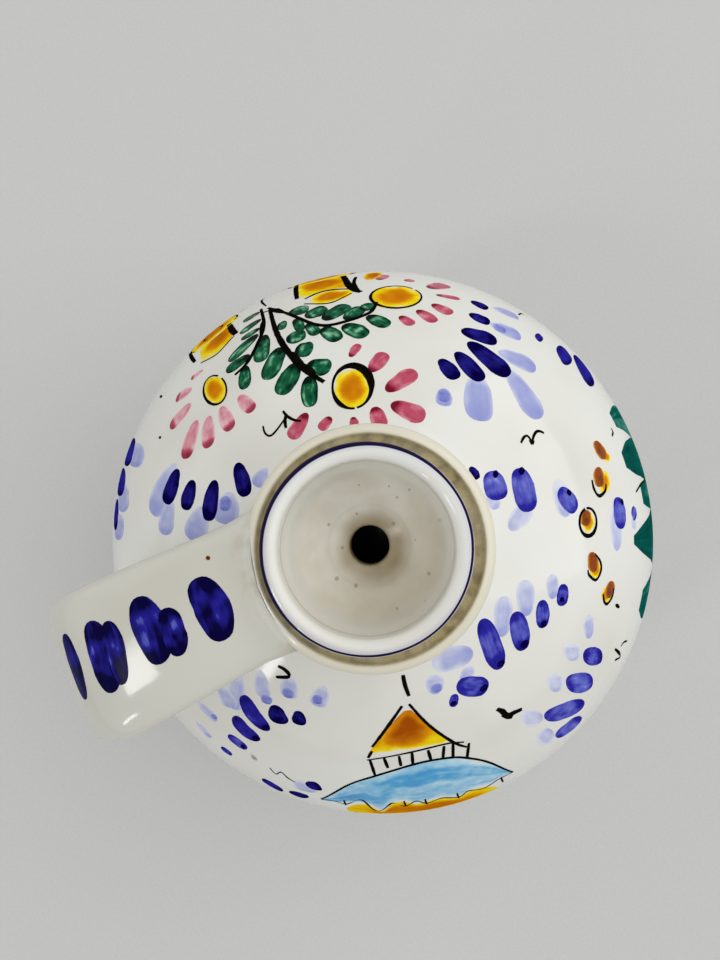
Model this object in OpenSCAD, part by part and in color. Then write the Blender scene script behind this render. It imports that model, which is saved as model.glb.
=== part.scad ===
// Round-bodied glazed jug with a cup mouth and one strap handle.
// Millimetres. Z is up, the origin is the middle of the foot's underside,
// and the handle stands on the -X side.

/* [Body] */
// Outer radius of the round body
body_r = 90; // [76:1:110]
// Wall thickness of the body
wall = 5; // [4:0.5:8]
// Thickness of the flat floor inside the foot ring
floor_t = 7; // [4:0.5:12]
// Height of the tongue that registers the two body halves at the belly
seam_lap = 6; // [3:0.5:12]

/* [Foot] */
// Outer radius of the foot ring where it meets the body
foot_r = 46; // [36:1:60]
// Width of the foot ring
foot_w = 8; // [6:0.5:14]
// Height of the foot ring
foot_h = 5; // [3:0.5:10]
// Radius of the foot ring's rounded lower edges
foot_edge = 1.6; // [0.5:0.1:2.4]

/* [Neck] */
// Height of the lip above the crown of the body
mouth_rise = 33; // [31:0.5:48]
// How far the neck's upper edge stands back under the collar
collar_overhang = 1.4; // [0.5:0.1:2.5]
// Depth of the neck's waist, from its ends to its narrowest place
waist_depth = 6.5; // [3:0.5:7.5]
// Inner radius of the neck
neck_bore_r = 11.5; // [9.5:0.5:13]
// Wall thickness of the neck's spigot
spigot_wall = 3.5; // [2.5:0.5:5]
// How far the neck's spigot reaches past the body's wall
spigot_len = 4; // [3:0.5:10]

/* [Mouth] */
// Outer radius of the collar round the lip
collar_r = 24.4; // [22:0.1:28]
// Width of the collar, from the lip to its outer edge
collar_w = 3.9; // [3.2:0.1:5]
// Wall thickness of the cup
cup_wall = 3.5; // [2.5:0.1:4.5]
// Depth from the lip to the start of the round bowl
cup_rim_depth = 5; // [3.5:0.5:7]
// Radius of the throat hole in the cup's floor
throat_r = 4.5; // [3:0.1:6]
// Wall thickness of the throat under the cup
throat_wall = 3; // [2:0.5:4]
// How far the throat reaches below the round of the cup
throat_drop = 2.5; // [1:0.5:5]
// Height of the collar
collar_h = 9.5; // [7:0.5:12]
// Height of the lip above the collar
lip_rise = 2.5; // [1.5:0.5:5]
// Radius of the collar's rounded upper edge
collar_round = 2.6; // [1.5:0.1:3]
// Radius of the collar's rounded lower edge
collar_ease = 1.2; // [0.5:0.1:1.8]
// Width of the groove between the collar and the lip
groove_w = 2.3; // [1:0.1:2.6]
// Depth of the groove between the collar and the lip
groove_d = 1; // [0.5:0.1:2]

/* [Handle] */
// Width of the strap
handle_w = 28; // [20:1:34]
// Thickness of the strap
handle_t = 10; // [7:0.5:13]
// Distance of the strap's outer face from the jug's axis
handle_reach = 71.7; // [62:0.1:74]
// Depth from the lip to the middle of the strap at the collar
handle_drop = 9.5; // [8:0.5:13]
// Slope at which the strap leaves the collar
handle_slope = 20; // [10:1:30]
// Radius of the outer bend, to the middle of the strap
bend_r = 16; // [10:0.5:20]
// Inward lean of the strap's lower run
handle_lean = 5; // [0:1:12]
// Extra width of the strap where it seats on the shoulder
seat_flare = 4; // [0:0.5:8]

/* [Hidden] */

$fn = 96;

// Thickness of the slip layer left between luted pieces
slip = 0.1;
// Overlap of cutting shapes past the faces that they cut
over = 1;

// Heights of the body's centre, its crown and the lip
body_z = foot_h + sqrt(pow(body_r, 2) - pow(foot_r, 2));
crown_z = body_z + body_r;
lip_z = crown_z + mouth_rise;

// Belly joint: the tongue takes the inner half of the wall
seam_r = body_r - wall / 2;

// Neck: its outer radius at its ends and waist, and the spigot's outer radius
neck_r = collar_r - collar_overhang;
waist_r = neck_r - waist_depth;
spigot_r = neck_bore_r + spigot_wall;
// Height at which the neck's outer edge stands on the body
neck_base_z = body_z + sqrt(pow(body_r, 2) - pow(neck_r, 2));

// Cup and collar: the cup's outer and inner radius, and the heights from the bowl to the throat's end
lip_r = collar_r - collar_w;
cup_r = lip_r - cup_wall;
bowl_z = lip_z - cup_rim_depth;
throat_z = bowl_z - lip_r - throat_drop;
collar_top_z = lip_z - lip_rise;
collar_base_z = collar_top_z - collar_h;
// Lip rounding: a half round on top of the cup's wall
lip_round = cup_wall / 2;

// Waist of the neck: a round groove that runs from the collar down to the body
waist_z = (collar_base_z + neck_base_z) / 2;
waist_half = (collar_base_z - neck_base_z) / 2;
waist_round = (pow(waist_half, 2) + pow(waist_depth, 2)) / (2 * waist_depth);

// Handle: a straight root inside the collar, an arch, a tight bend and a drop
root_bury = 2.4;
root_x = collar_r - root_bury;
root_z = lip_z - handle_drop;
bend_x = handle_reach - handle_t / 2 - bend_r;
arch_end_x = bend_x + bend_r * sin(handle_slope);
arch_r = (arch_end_x - root_x) / (2 * sin(handle_slope));
arch_x = root_x + arch_r * sin(handle_slope);
arch_z = root_z - arch_r * cos(handle_slope);
bend_z = root_z - bend_r * cos(handle_slope);
// The root starts well inside the collar
root_len = (root_x - collar_r / 4) / cos(handle_slope);
// The drop ends inside the body, half a strap width past where its middle meets the surface
drop_x = bend_x + bend_r * cos(handle_lean);
drop_z = bend_z - bend_r * sin(handle_lean) - body_z;
drop_fall = drop_x * sin(handle_lean) + drop_z * cos(handle_lean);
seat_len = drop_fall - sqrt(pow(drop_fall, 2) - pow(drop_x, 2) - pow(drop_z, 2) + pow(body_r, 2));
drop_len = seat_len + handle_w / 2;

// Points round the strap, and its steps along each run
strap_sides = 28;
arch_steps = 12;
bend_steps = 14;
drop_steps = 8;
// Squareness of the strap's flat oval section: 1 is an ellipse, smaller is squarer
strap_square = 0.7;

// Swell of the strap at a seat, from 0 clear of it to 1 at the seat
function swell(share) = pow(max(0, share), 2);

// One station: the strap's middle, its slope, and its width and thickness there
function station(x, z, slope, share) =
    [x, z, slope, handle_w + seat_flare * swell(share), handle_t + seat_flare / 2 * swell(share)];

// Stations along the root, the arch, the bend and the drop
stations = concat(
    [station(root_x - root_len * cos(handle_slope), root_z - root_len * sin(handle_slope), handle_slope, 0)],
    [for (i = [0 : arch_steps - 1])
        let (a = handle_slope * (1 - 2 * i / arch_steps))
        station(arch_x - arch_r * sin(a), arch_z + arch_r * cos(a), a, 0)],
    [for (i = [0 : bend_steps - 1])
        let (a = -handle_slope - (90 + handle_lean - handle_slope) * i / bend_steps)
        station(bend_x - bend_r * sin(a), bend_z + bend_r * cos(a), a, 0)],
    [for (i = [0 : drop_steps])
        let (along = drop_len * i / drop_steps)
        station(
            drop_x - along * sin(handle_lean),
            body_z + drop_z - along * cos(handle_lean),
            -90 - handle_lean,
            along / seat_len
        )]
);

// Rounded power of a sine or cosine, which keeps its sign
function squared(v) = sign(v) * pow(abs(v), strap_square);

// Ring of points round one station
function ring(s) = [
    for (i = [0 : strap_sides - 1])
        let (
            turn = 360 * i / strap_sides,
            up = squared(cos(turn)) * s[4] / 2,
            across = squared(sin(turn)) * s[3] / 2
        )
        [s[0] - up * sin(s[2]), across, s[1] + up * cos(s[2])]
];

// Half-plane to the right of the axis, between two heights
module band(r, z_low, z_high) {
    translate([0, z_low])
        square([r, z_high - z_low]);
}

// Disc of the body's round section
module globe_section(r) {
    translate([0, body_z])
        circle(r);
}

// Outer section of the neck, filled to the axis, grown by a gap
module neck_section(gap = 0) {
    difference() {
        band(neck_r + gap, body_z, collar_base_z);
        translate([waist_r + waist_round, waist_z])
            circle(waist_round - gap);
    }
}

// Outer section of the collar, filled to the axis, grown by a gap
module collar_section(gap = 0) {
    band(collar_r + gap, collar_base_z + collar_ease, collar_top_z - collar_round);
    band(collar_r - collar_ease, collar_base_z, collar_top_z - collar_round);
    band(collar_r - collar_round, collar_base_z, collar_top_z + gap);
    translate([collar_r - collar_ease, collar_base_z + collar_ease])
        circle(collar_ease + gap);
    translate([collar_r - collar_round, collar_top_z - collar_round])
        circle(collar_round + gap);
}

// Outer section of the cup, filled to the axis, grown by a gap
module cup_section(gap = 0) {
    band(lip_r + gap, bowl_z, lip_z - lip_round);
    intersection() {
        band(lip_r + gap, bowl_z - lip_r - over, bowl_z);
        translate([0, bowl_z])
            circle(lip_r + gap);
    }
}

// Turned ring that the body stands on
module foot_ring() {
    color("#cbb697")
        rotate_extrude()
            difference() {
                union() {
                    translate([foot_r - foot_w, foot_edge])
                        square([foot_w, foot_h - foot_edge]);
                    translate([foot_r - foot_w + foot_edge, 0])
                        square([foot_w - 2 * foot_edge, foot_h]);
                    for (x = [foot_r - foot_w + foot_edge, foot_r - foot_edge])
                        translate([x, foot_edge])
                            circle(foot_edge);
                }
                band(body_r, foot_h - slip, foot_h + over);
            }
}

// Lower half of the body: a round bowl with a flat floor and a rebated rim
module lower_bowl() {
    color("#e6e3d8")
        rotate_extrude()
            difference() {
                intersection() {
                    globe_section(body_r);
                    band(body_r, foot_h, body_z);
                }
                intersection() {
                    globe_section(body_r - wall);
                    band(body_r, foot_h + floor_t, body_z + over);
                }
                band(seam_r, body_z - seam_lap, body_z + over);
            }
}

// Upper half of the body: a dome with a tongue at the belly and a hole for the neck
module upper_dome() {
    color("#ece9df")
        rotate_extrude()
            difference() {
                intersection() {
                    globe_section(body_r);
                    union() {
                        band(body_r, body_z + slip, crown_z);
                        band(seam_r - slip, body_z - seam_lap + slip, body_z + 2 * slip);
                    }
                }
                globe_section(body_r - wall);
                band(spigot_r + slip, body_z, crown_z + over);
            }
}

// Waisted neck: it stands on the dome, with a spigot inside and a round seat for the cup
module neck() {
    color("#e8e5da")
        rotate_extrude()
            difference() {
                union() {
                    difference() {
                        neck_section();
                        globe_section(body_r + slip);
                    }
                    band(spigot_r, crown_z - wall - spigot_len, crown_z);
                }
                band(neck_bore_r, body_z - over, lip_z);
                cup_section(slip);
            }
}

// Rounded ring round the lip, with a narrow groove beside it
module collar() {
    color("#e3dcc6")
        rotate_extrude()
            difference() {
                intersection() {
                    collar_section();
                    band(body_r, collar_base_z + slip, lip_z);
                }
                cup_section(slip);
                band(lip_r + groove_w, collar_top_z - groove_d, lip_z);
            }
}

// Round cup with a half-round lip and a throat hole in its floor
module mouth_cup() {
    color("#d9d3c3")
        rotate_extrude()
            difference() {
                union() {
                    cup_section();
                    translate([lip_r - lip_round, lip_z - lip_round])
                        circle(lip_round);
                    band(throat_r + throat_wall, throat_z, bowl_z);
                }
                band(cup_r, bowl_z, lip_z - lip_round);
                translate([0, bowl_z])
                    circle(cup_r);
                band(throat_r, throat_z - over, bowl_z);
            }
}

// Lofted strap: one ring of points at each station, two caps
module strap() {
    sides = strap_sides;
    last = len(stations) - 1;
    points = [for (s = stations) each ring(s)];
    skin = [
        for (j = [0 : last - 1], i = [0 : sides - 1])
            let (k = (i + 1) % sides, a = j * sides, b = a + sides)
            each [[a + i, b + k, b + i], [a + i, a + k, b + k]]
    ];
    start_cap = [for (i = [1 : sides - 2]) [0, i + 1, i]];
    end_cap = [for (i = [1 : sides - 2]) [last * sides, last * sides + i, last * sides + i + 1]];
    polyhedron(points = points, faces = concat(skin, start_cap, end_cap), convexity = 4);
}

// Strap from the collar over an arch and a bend down to the shoulder, cut to its two seats
module handle() {
    color("#d6d2c6")
        rotate([0, 0, 180])
            difference() {
                strap();
                translate([0, 0, body_z])
                    sphere(body_r + slip);
                rotate_extrude()
                    intersection() {
                        union() {
                            neck_section(slip);
                            collar_section(slip);
                            cup_section(slip);
                        }
                        band(body_r, body_z, lip_z);
                    }
            }
}

foot_ring();
lower_bowl();
upper_dome();
neck();
collar();
mouth_cup();
handle();
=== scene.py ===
"""Dresses the painted jug: glazed vessel, mouth cup, strap handle, foot ring and brushwork."""

import logging
from collections import defaultdict
from dataclasses import dataclass, field
from enum import Enum
from functools import partial, reduce
from math import acos, asin, atan2, copysign, cos, degrees, dist, hypot, pi, radians, sin, sqrt, tau
from typing import Any, NamedTuple, Sequence

import bmesh
import bpy
from mathutils import Matrix, Vector
from mathutils.bvhtree import BVHTree


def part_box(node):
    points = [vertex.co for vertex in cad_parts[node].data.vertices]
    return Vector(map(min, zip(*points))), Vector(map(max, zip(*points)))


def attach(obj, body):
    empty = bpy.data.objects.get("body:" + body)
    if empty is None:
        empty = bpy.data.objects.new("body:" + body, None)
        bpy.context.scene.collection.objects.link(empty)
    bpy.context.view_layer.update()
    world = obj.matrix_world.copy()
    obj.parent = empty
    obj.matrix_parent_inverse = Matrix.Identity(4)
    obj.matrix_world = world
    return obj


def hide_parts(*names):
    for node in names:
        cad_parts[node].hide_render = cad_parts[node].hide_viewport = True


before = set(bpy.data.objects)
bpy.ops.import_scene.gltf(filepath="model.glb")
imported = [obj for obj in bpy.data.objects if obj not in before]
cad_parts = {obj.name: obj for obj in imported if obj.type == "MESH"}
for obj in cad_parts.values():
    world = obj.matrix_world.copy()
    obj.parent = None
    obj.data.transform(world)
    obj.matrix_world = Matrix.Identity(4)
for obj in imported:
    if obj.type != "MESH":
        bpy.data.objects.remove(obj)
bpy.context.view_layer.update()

LOG = logging.getLogger("jug")

# One millimetre in scene units
MM = 0.001
# The body that every piece rides on
BODY = "root"
# Share of a turn between the seeds of two brush touches that follow each other
SEED_STEP = 0.618
# Count of levels that touches which follow each other take in turn
LEVELS = 5
# Steps of a line that goes round a flower
RING_STEPS = 16
# Edges that bend more than this stay crisp, in radians
CRISP = 0.7
# Points nearer than this are welded
WELD = 0.0005 * MM
# The colour sockets of a Mix node, by number
MIX_FIRST, MIX_SECOND, MIX_RESULT = 6, 7, 2
# Kind of an attribute that holds a vector
VECTOR = "FLOAT_VECTOR"

Pixel = tuple[float, float]
Corner = tuple[float, float]
Rgb = tuple[int, int, int]
Socket = bpy.types.NodeSocket
Feeds = dict[int | str, Any]
Piece = bpy.types.Object
Mesh = bpy.types.Mesh
Material = bpy.types.Material
# One dab read off the photo: where the brush lands, where it lifts, and its width
Row = tuple[float, float, float, float, float]


def add_object(name: str, data: bpy.types.ID) -> Piece:
    """Adds an object to the scene.

    Args:
        name: Its name.
        data: Its mesh, camera or light.

    Returns:
        The object.
    """
    piece = bpy.data.objects.new(name, data)
    bpy.context.scene.collection.objects.link(piece)
    return piece


def linear(colour: Rgb) -> tuple[float, float, float, float]:
    """Turns a screen's red, green and blue, from 0 to 255, into linear light with an alpha of 1."""
    shares = (c / 255 for c in colour)
    return (*(s / 12.92 if s <= 0.04045 else ((s + 0.055) / 1.055) ** 2.4 for s in shares), 1.0)


class Graph:
    """A node tree under construction, with short calls for the nodes that the trees share."""

    def __init__(self, tree: bpy.types.NodeTree) -> None:
        """Starts on a node tree."""
        self.tree = tree

    def add(self, kind: str, feeds: Feeds | None = None, **settings: Any) -> bpy.types.Node:
        """Adds one node.

        Args:
            kind: The node's type.
            feeds: What feeds each input, by its name or number: a socket or a plain value.
            settings: The node's own options.

        Returns:
            The new node.
        """
        node = self.tree.nodes.new(kind)
        for name, value in settings.items():
            setattr(node, name, value)
        for key, value in (feeds or {}).items():
            if isinstance(value, Socket):
                self.tree.links.new(value, node.inputs[key])
            else:
                node.inputs[key].default_value = value
        return node

    def give(self, kind: str, feeds: Feeds | None = None, **settings: Any) -> Socket:
        """Adds one node and gives its first output."""
        return self.add(kind, feeds, **settings).outputs[0]

    def math(self, operation: str, *values: Any) -> Socket:
        """Works on numbers."""
        return self.give("ShaderNodeMath", dict(enumerate(values)), operation=operation)

    def total(self, *values: Any) -> Socket:
        """Adds up any count of numbers."""
        return reduce(partial(self.math, "ADD"), values)

    def times(self, *values: Any) -> Socket:
        """Multiplies any count of numbers."""
        return reduce(partial(self.math, "MULTIPLY"), values)

    def minus(self, value: Any, taken: Any) -> Socket:
        """Takes one number from another."""
        return self.math("SUBTRACT", value, taken)

    def fit(self, value: Any, slope: Any, start: Any) -> Socket:
        """Gives a number times a slope, plus a start."""
        return self.math("MULTIPLY_ADD", value, slope, start)

    def vector(self, operation: str, *values: Any) -> Socket:
        """Works on vectors."""
        node = self.add("ShaderNodeVectorMath", dict(enumerate(values)), operation=operation)
        return node.outputs["Value" if operation in ("LENGTH", "DOT_PRODUCT") else "Vector"]

    def scaled(self, vector: Any, factor: Any) -> Socket:
        """Gives a vector times a number."""
        return self.give("ShaderNodeVectorMath", {0: vector, "Scale": factor}, operation="SCALE")

    def split(self, vector: Socket) -> tuple[Socket, Socket, Socket]:
        """Gives a vector's x, y and z."""
        return tuple(self.add("ShaderNodeSeparateXYZ", {0: vector}).outputs)

    def combine(self, x: Any, y: Any, z: Any) -> Socket:
        """Gives a vector from its x, y and z."""
        return self.give("ShaderNodeCombineXYZ", {0: x, 1: y, 2: z})

    def off_axis(self, x: Socket, y: Socket) -> Socket:
        """Gives the distance from the upright axis."""
        return self.vector("LENGTH", self.combine(x, y, 0.0))

    def smooth(self, value: Socket, low: float, high: float) -> Socket:
        """Gives 0 where the value is at low, 1 where it is at high, and a soft step between."""
        feeds = {"Value": value, 1: low, 2: high}
        return self.give("ShaderNodeMapRange", feeds, interpolation_type="SMOOTHSTEP")

    def noise(self, vector: Any, scale: float, detail: float = 2.0) -> Socket:
        """Gives soft noise from 0 to 1, by its features per unit and its count of finer layers."""
        return self.give("ShaderNodeTexNoise", {"Vector": vector, "Scale": scale, "Detail": detail})

    def swing(self, vector: Any, scale: float, detail: float = 2.0) -> Socket:
        """Gives the same noise from -0.5 to 0.5."""
        return self.minus(self.noise(vector, scale, detail), 0.5)


class Shader(Graph):
    """The nodes of one material."""

    SWELL = 42.0  # Broad ripples of a glazed skin, per metre
    PEEL = 420.0  # Its fine ripples, per metre
    PEEL_SHARE = 0.07  # Depth of the fine ripples against the broad ones
    GLASS = 1.52  # Index of refraction of the glaze

    def __init__(self, name: str) -> None:
        """Starts a material with an empty tree.

        Args:
            name: The material's name.
        """
        self.material = bpy.data.materials.new(name)
        self.material.use_nodes = True
        super().__init__(self.material.node_tree)
        self.tree.nodes.clear()
        self.place = self.add("ShaderNodeTexCoord").outputs["Object"]

    def read(self, name: str) -> Socket:
        """Reads one of the mesh's own attributes as a number."""
        return self.add("ShaderNodeAttribute", attribute_name=name).outputs["Fac"]

    def blend(self, share: Any, first: Socket | Rgb, second: Socket | Rgb) -> Socket:
        """Mixes two colours.

        Args:
            share: How much of the second colour shows.
            first: A socket or a plain colour.
            second: A socket or a plain colour.

        Returns:
            The mixed colour.
        """
        feeds = {0: share}
        for key, colour in ((MIX_FIRST, first), (MIX_SECOND, second)):
            feeds[key] = colour if isinstance(colour, Socket) else linear(colour)
        return self.add("ShaderNodeMix", feeds, data_type="RGBA").outputs[MIX_RESULT]

    def ramp(self, share: Socket, stops: Sequence[tuple[float, Rgb]]) -> Socket:
        """Runs a number through a row of colours.

        Args:
            share: The number, from 0 to 1.
            stops: Each colour and where it stands.

        Returns:
            The colour.
        """
        node = self.add("ShaderNodeValToRGB", {0: share})
        elements = node.color_ramp.elements
        while len(elements) < len(stops):
            elements.new(0.5)
        for element, (at, colour) in zip(elements, stops):
            element.position = at
            element.color = linear(colour)
        return node.outputs["Color"]

    def surface(self, **feeds: Any) -> Material:
        """Ends the tree in a surface with those inputs.

        Args:
            feeds: What feeds each input, by its name with underscores.

        Returns:
            The finished material.
        """
        named = {label.replace("_", " "): value for label, value in feeds.items()}
        self.add("ShaderNodeOutputMaterial", {"Surface": self.give("ShaderNodeBsdfPrincipled", named)})
        return self.material

    def skin(self, colour: Socket, roughness: Socket, ripple: float,
             shine: Socket | float = 0.5) -> Material:
        """Ends the tree in a gloss surface with a softly rippled skin.

        Args:
            colour: The surface's colour.
            roughness: The surface's roughness.
            ripple: Depth of the ripples in millimetres.
            shine: Strength of the reflections.

        Returns:
            The finished material.
        """
        swell = self.noise(self.place, self.SWELL, 1.0)
        peel = self.times(self.noise(self.place, self.PEEL), self.PEEL_SHARE)
        feeds = {"Strength": 1.0, "Distance": ripple * MM, "Height": self.total(swell, peel)}
        normal = self.give("ShaderNodeBump", feeds)
        return self.surface(Base_Color=colour, Roughness=roughness, IOR=self.GLASS, Normal=normal,
                            Specular_IOR_Level=shine)


@dataclass(frozen=True)
class Glaze:
    """White tin glaze: a pale colour that drifts, sparse specks and a gloss that varies a little."""

    colour: Rgb = (232, 232, 226)  # The glaze where it lies thick
    drift: Rgb = (223, 221, 211)  # The glaze where it lies thin
    speck: Rgb = (112, 92, 70)  # The small iron specks
    gloss: float = 0.07  # Roughness of the cleanest glaze
    ripple: float = 0.22  # Depth of the ripples in millimetres

    def coat(self, s: Shader) -> Socket:
        """Gives the clean glaze's colour.

        Args:
            s: The material's nodes.

        Returns:
            The colour.
        """
        colour = s.blend(s.smooth(s.noise(s.place, 24.0), 0.35, 0.75), self.colour, self.drift)
        cells = s.add("ShaderNodeTexVoronoi", {"Vector": s.place, "Scale": 62.0})
        near = s.smooth(cells.outputs["Distance"], 0.034, 0.02)
        chosen, _, _ = s.split(cells.outputs["Color"])
        speck = s.times(near, s.math("GREATER_THAN", chosen, 0.82), 0.7)
        return s.blend(speck, colour, self.speck)

    def roughness(self, s: Shader, dirt: Any = 0.0) -> Socket:
        """Gives the glaze's roughness, which dirt dulls."""
        wear_and_shade = s.fit(s.noise(s.place, 95.0), 0.06, self.gloss)
        return s.fit(dirt, 0.45, wear_and_shade)


@dataclass(frozen=True)
class Stain:
    """One pigment as the brush lays it under the gloss."""

    pale: Rgb  # Colour of the thinnest wash
    mid: Rgb  # Colour of a plain touch
    deep: Rgb  # Colour where the pigment pools
    streak: float = 0.15  # Strength of the bristle streaks along the touch
    cloud: float = 0.2  # Strength of the broad uneven patches within a touch
    touch: float = 0.0  # Extra pigment where the brush lands
    pool: float = 0.0  # Extra pigment where the brush lifts
    rim: float = 0.0  # Extra pigment along the edges
    core: float = 0.0  # Extra pigment in the middle
    mottle: float = 0.15  # Strength of the blotches
    lift: float = 0.03  # Height of the layer over the glaze in millimetres
    shine: float = 0.05  # Strength of the reflections

    def material(self, name: str, glaze: Glaze) -> Material:
        """Makes the pigment's material.

        Args:
            name: The material's name.
            glaze: The glaze whose gloss and ripples the pigment shares.

        Returns:
            The material.
        """
        s = Shader(name)
        along, across, seed = s.read("along"), s.read("across"), s.read("seed")
        start, layer = s.fit(seed, 31.0, along), s.times(seed, 17.0)
        streak = s.swing(s.combine(start, s.times(across, 3.2), layer), 1.1, 3.0)
        cloud = s.swing(s.combine(start, s.times(across, 0.7), layer), 1.5, 1.0)
        blotch = s.swing(s.place, 330.0)
        edge = s.math("ABSOLUTE", across)
        spread = s.total(s.times(along, along), s.times(across, across))
        extras = (
            (streak, 2 * self.streak),
            (cloud, 2 * self.cloud),
            (blotch, 2 * self.mottle),
            (s.smooth(along, -0.35, -0.8), self.touch),
            (s.smooth(along, 0.3, 0.85), self.pool),
            (s.smooth(edge, 0.55, 0.95), self.rim),
            (s.smooth(spread, 0.9, 0.05), self.core),
        )
        density = s.total(s.read("tone"), *(s.times(mask, share) for mask, share in extras))
        stops = ((0.0, glaze.colour), (0.25, self.pale), (0.55, self.mid), (1.0, self.deep))
        return s.skin(s.ramp(density, stops), glaze.roughness(s), glaze.ripple, self.shine)


class Pigment(Enum):
    """The painter's pigments, from the first layer to the last."""

    WASH = Stain((214, 217, 234), (164, 171, 218), (104, 112, 200), 0.05, 0.14, -0.16, 0.12, -0.14,
                 mottle=0.05, lift=0.02)
    COBALT = Stain((112, 118, 208), (46, 42, 160), (8, 2, 66), 0.14, 0.22, 0.18, 0.26, 0.04,
                   lift=0.036, shine=0.0)
    BOLD = Stain((110, 122, 206), (36, 32, 142), (8, 4, 54), 0.3, 0.8, 0.3, 0.4, 0.1,
                 lift=0.036, shine=0.03)
    ROSE = Stain((232, 180, 188), (192, 82, 106), (122, 16, 40), 0.08, 0.2, 0.5, 0.06, -0.08)
    LEAF = Stain((136, 194, 156), (26, 104, 70), (4, 26, 18), 0.25, 0.6, 0.6, 0.1, 0.25,
                 mottle=0.35, shine=0.02)
    PINE = Stain((84, 152, 136), (12, 90, 82), (6, 54, 52), 0.25, 0.3, 0.1, shine=0.0)
    BLOSSOM = Stain((244, 220, 24), (222, 142, 14), (166, 78, 10), 0.06, 0.2, core=0.45, shine=0.0)
    BROWN = Stain((214, 150, 30), (166, 86, 26), (100, 44, 16), 0.15, 0.2, rim=-0.4, core=0.1, lift=0.046)
    SKY = Stain((176, 216, 234), (82, 166, 216), (24, 114, 188), 0.25, 0.45, rim=-0.2, mottle=0.2)
    INK = Stain((60, 56, 46), (22, 20, 16), (8, 8, 6), 0.08, 0.1, lift=0.056, shine=0.0)


class Former(Graph):
    """A Geometry Nodes tree that forms one kind of piece from a rough mesh."""

    def __init__(self, name: str, inputs: dict[str, str]) -> None:
        """Starts the tree.

        Args:
            name: The tree's name.
            inputs: The kind of each named input.
        """
        super().__init__(bpy.data.node_groups.new(name, "GeometryNodeTree"))
        kinds = {"Geometry": "Geometry", **inputs, "Material": "Material"}
        sockets = self.tree.interface
        self.ports = {
            label: sockets.new_socket(label, in_out="INPUT", socket_type=f"NodeSocket{kind}").identifier
            for label, kind in kinds.items()
        }
        sockets.new_socket("Geometry", in_out="OUTPUT", socket_type="NodeSocketGeometry")
        self.given = self.add("NodeGroupInput").outputs

    def named(self, name: str, kind: str = "FLOAT") -> Socket:
        """Reads a named attribute."""
        return self.give("GeometryNodeInputNamedAttribute", {"Name": name}, data_type=kind)

    def store(self, geometry: Socket, name: str, value: Socket, kind: str = "FLOAT") -> Socket:
        """Gives a geometry whose points keep a value under a name."""
        feeds = {"Geometry": geometry, "Name": name, "Value": value}
        return self.give("GeometryNodeStoreNamedAttribute", feeds, data_type=kind)

    def placed(self, geometry: Socket, name: str) -> Socket:
        """Gives a geometry whose points keep their place under a name."""
        return self.store(geometry, name, self.give("GeometryNodeInputPosition"), VECTOR)

    def moved(self, geometry: Socket, place: Socket) -> Socket:
        """Gives a geometry with its points put in a new place."""
        return self.give("GeometryNodeSetPosition", {"Geometry": geometry, "Position": place})

    def chain(self) -> Socket:
        """Gives the rough mesh as curves."""
        return self.give("GeometryNodeMeshToCurve", {"Mesh": self.given["Geometry"]})

    def circle(self, count: Socket, radius: float) -> Socket:
        """Gives a circle of that many points."""
        feeds = {"Resolution": count, "Radius": radius}
        return self.give("GeometryNodeCurvePrimitiveCircle", feeds, mode="RADIUS")

    def hoop(self, count: Socket) -> Socket:
        """Gives a circle whose points keep their turn round it, in radians."""
        share = self.math("DIVIDE", self.give("GeometryNodeInputIndex"), count)
        return self.store(self.circle(count, 10 * MM), "turn", self.times(share, tau))

    def swept(self, route: Socket, profile: Socket, caps: bool = False) -> Socket:
        """Gives the mesh of a profile that runs along a route, with its ends capped or open."""
        feeds = {"Curve": route, "Profile Curve": profile, "Fill Caps": caps}
        return self.give("GeometryNodeCurveToMesh", feeds)

    def close(self, geometry: Socket) -> None:
        """Ends the tree: welds, smooths all but the crisp edges, realizes and gives the material.

        Args:
            geometry: The formed mesh.
        """
        geometry = self.give("GeometryNodeMergeByDistance", {"Geometry": geometry, "Distance": WELD})
        geometry = self.give("GeometryNodeSetShadeSmooth", {"Geometry": geometry})
        bend = self.add("GeometryNodeInputMeshEdgeAngle").outputs["Unsigned Angle"]
        crisp = self.math("GREATER_THAN", bend, CRISP)
        feeds = {"Geometry": geometry, "Selection": crisp, "Shade Smooth": False}
        geometry = self.give("GeometryNodeSetShadeSmooth", feeds, domain="EDGE")
        geometry = self.give("GeometryNodeRealizeInstances", {"Geometry": geometry})
        feeds = {"Geometry": geometry, "Material": self.given["Material"]}
        self.add("NodeGroupOutput", {0: self.give("GeometryNodeSetMaterial", feeds)})

    def form(self, name: str, rough: Mesh, keep: Sequence[str] = (), **values: Any) -> Piece:
        """Forms one piece.

        Args:
            name: The piece's name.
            rough: The mesh that the tree starts from.
            keep: The attributes that the piece's material reads.
            values: The tree's inputs, by name.

        Returns:
            The piece as a plain mesh.
        """
        piece = add_object(name, rough)
        modifier = piece.modifiers.new(name, "NODES")
        modifier.node_group = self.tree
        for label, value in values.items():
            modifier[self.ports[label]] = value
        graph = bpy.context.evaluated_depsgraph_get()
        solid = bpy.data.meshes.new_from_object(piece.evaluated_get(graph), depsgraph=graph)
        piece.modifiers.remove(modifier)
        piece.data = solid
        solid.name = name
        face_outwards(solid)
        needed = {"position", "sharp_edge", "material_index", *keep}
        for extra in [a.name for a in solid.attributes if a.name not in needed and not a.is_required]:
            solid.attributes.remove(solid.attributes[extra])
        return piece


def face_outwards(mesh: Mesh) -> None:
    """Turns every face of a closed mesh outwards.

    Args:
        mesh: The mesh.
    """
    work = bmesh.new()
    work.from_mesh(mesh)
    bmesh.ops.recalc_face_normals(work, faces=work.faces)
    work.to_mesh(mesh)
    work.free()


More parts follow.
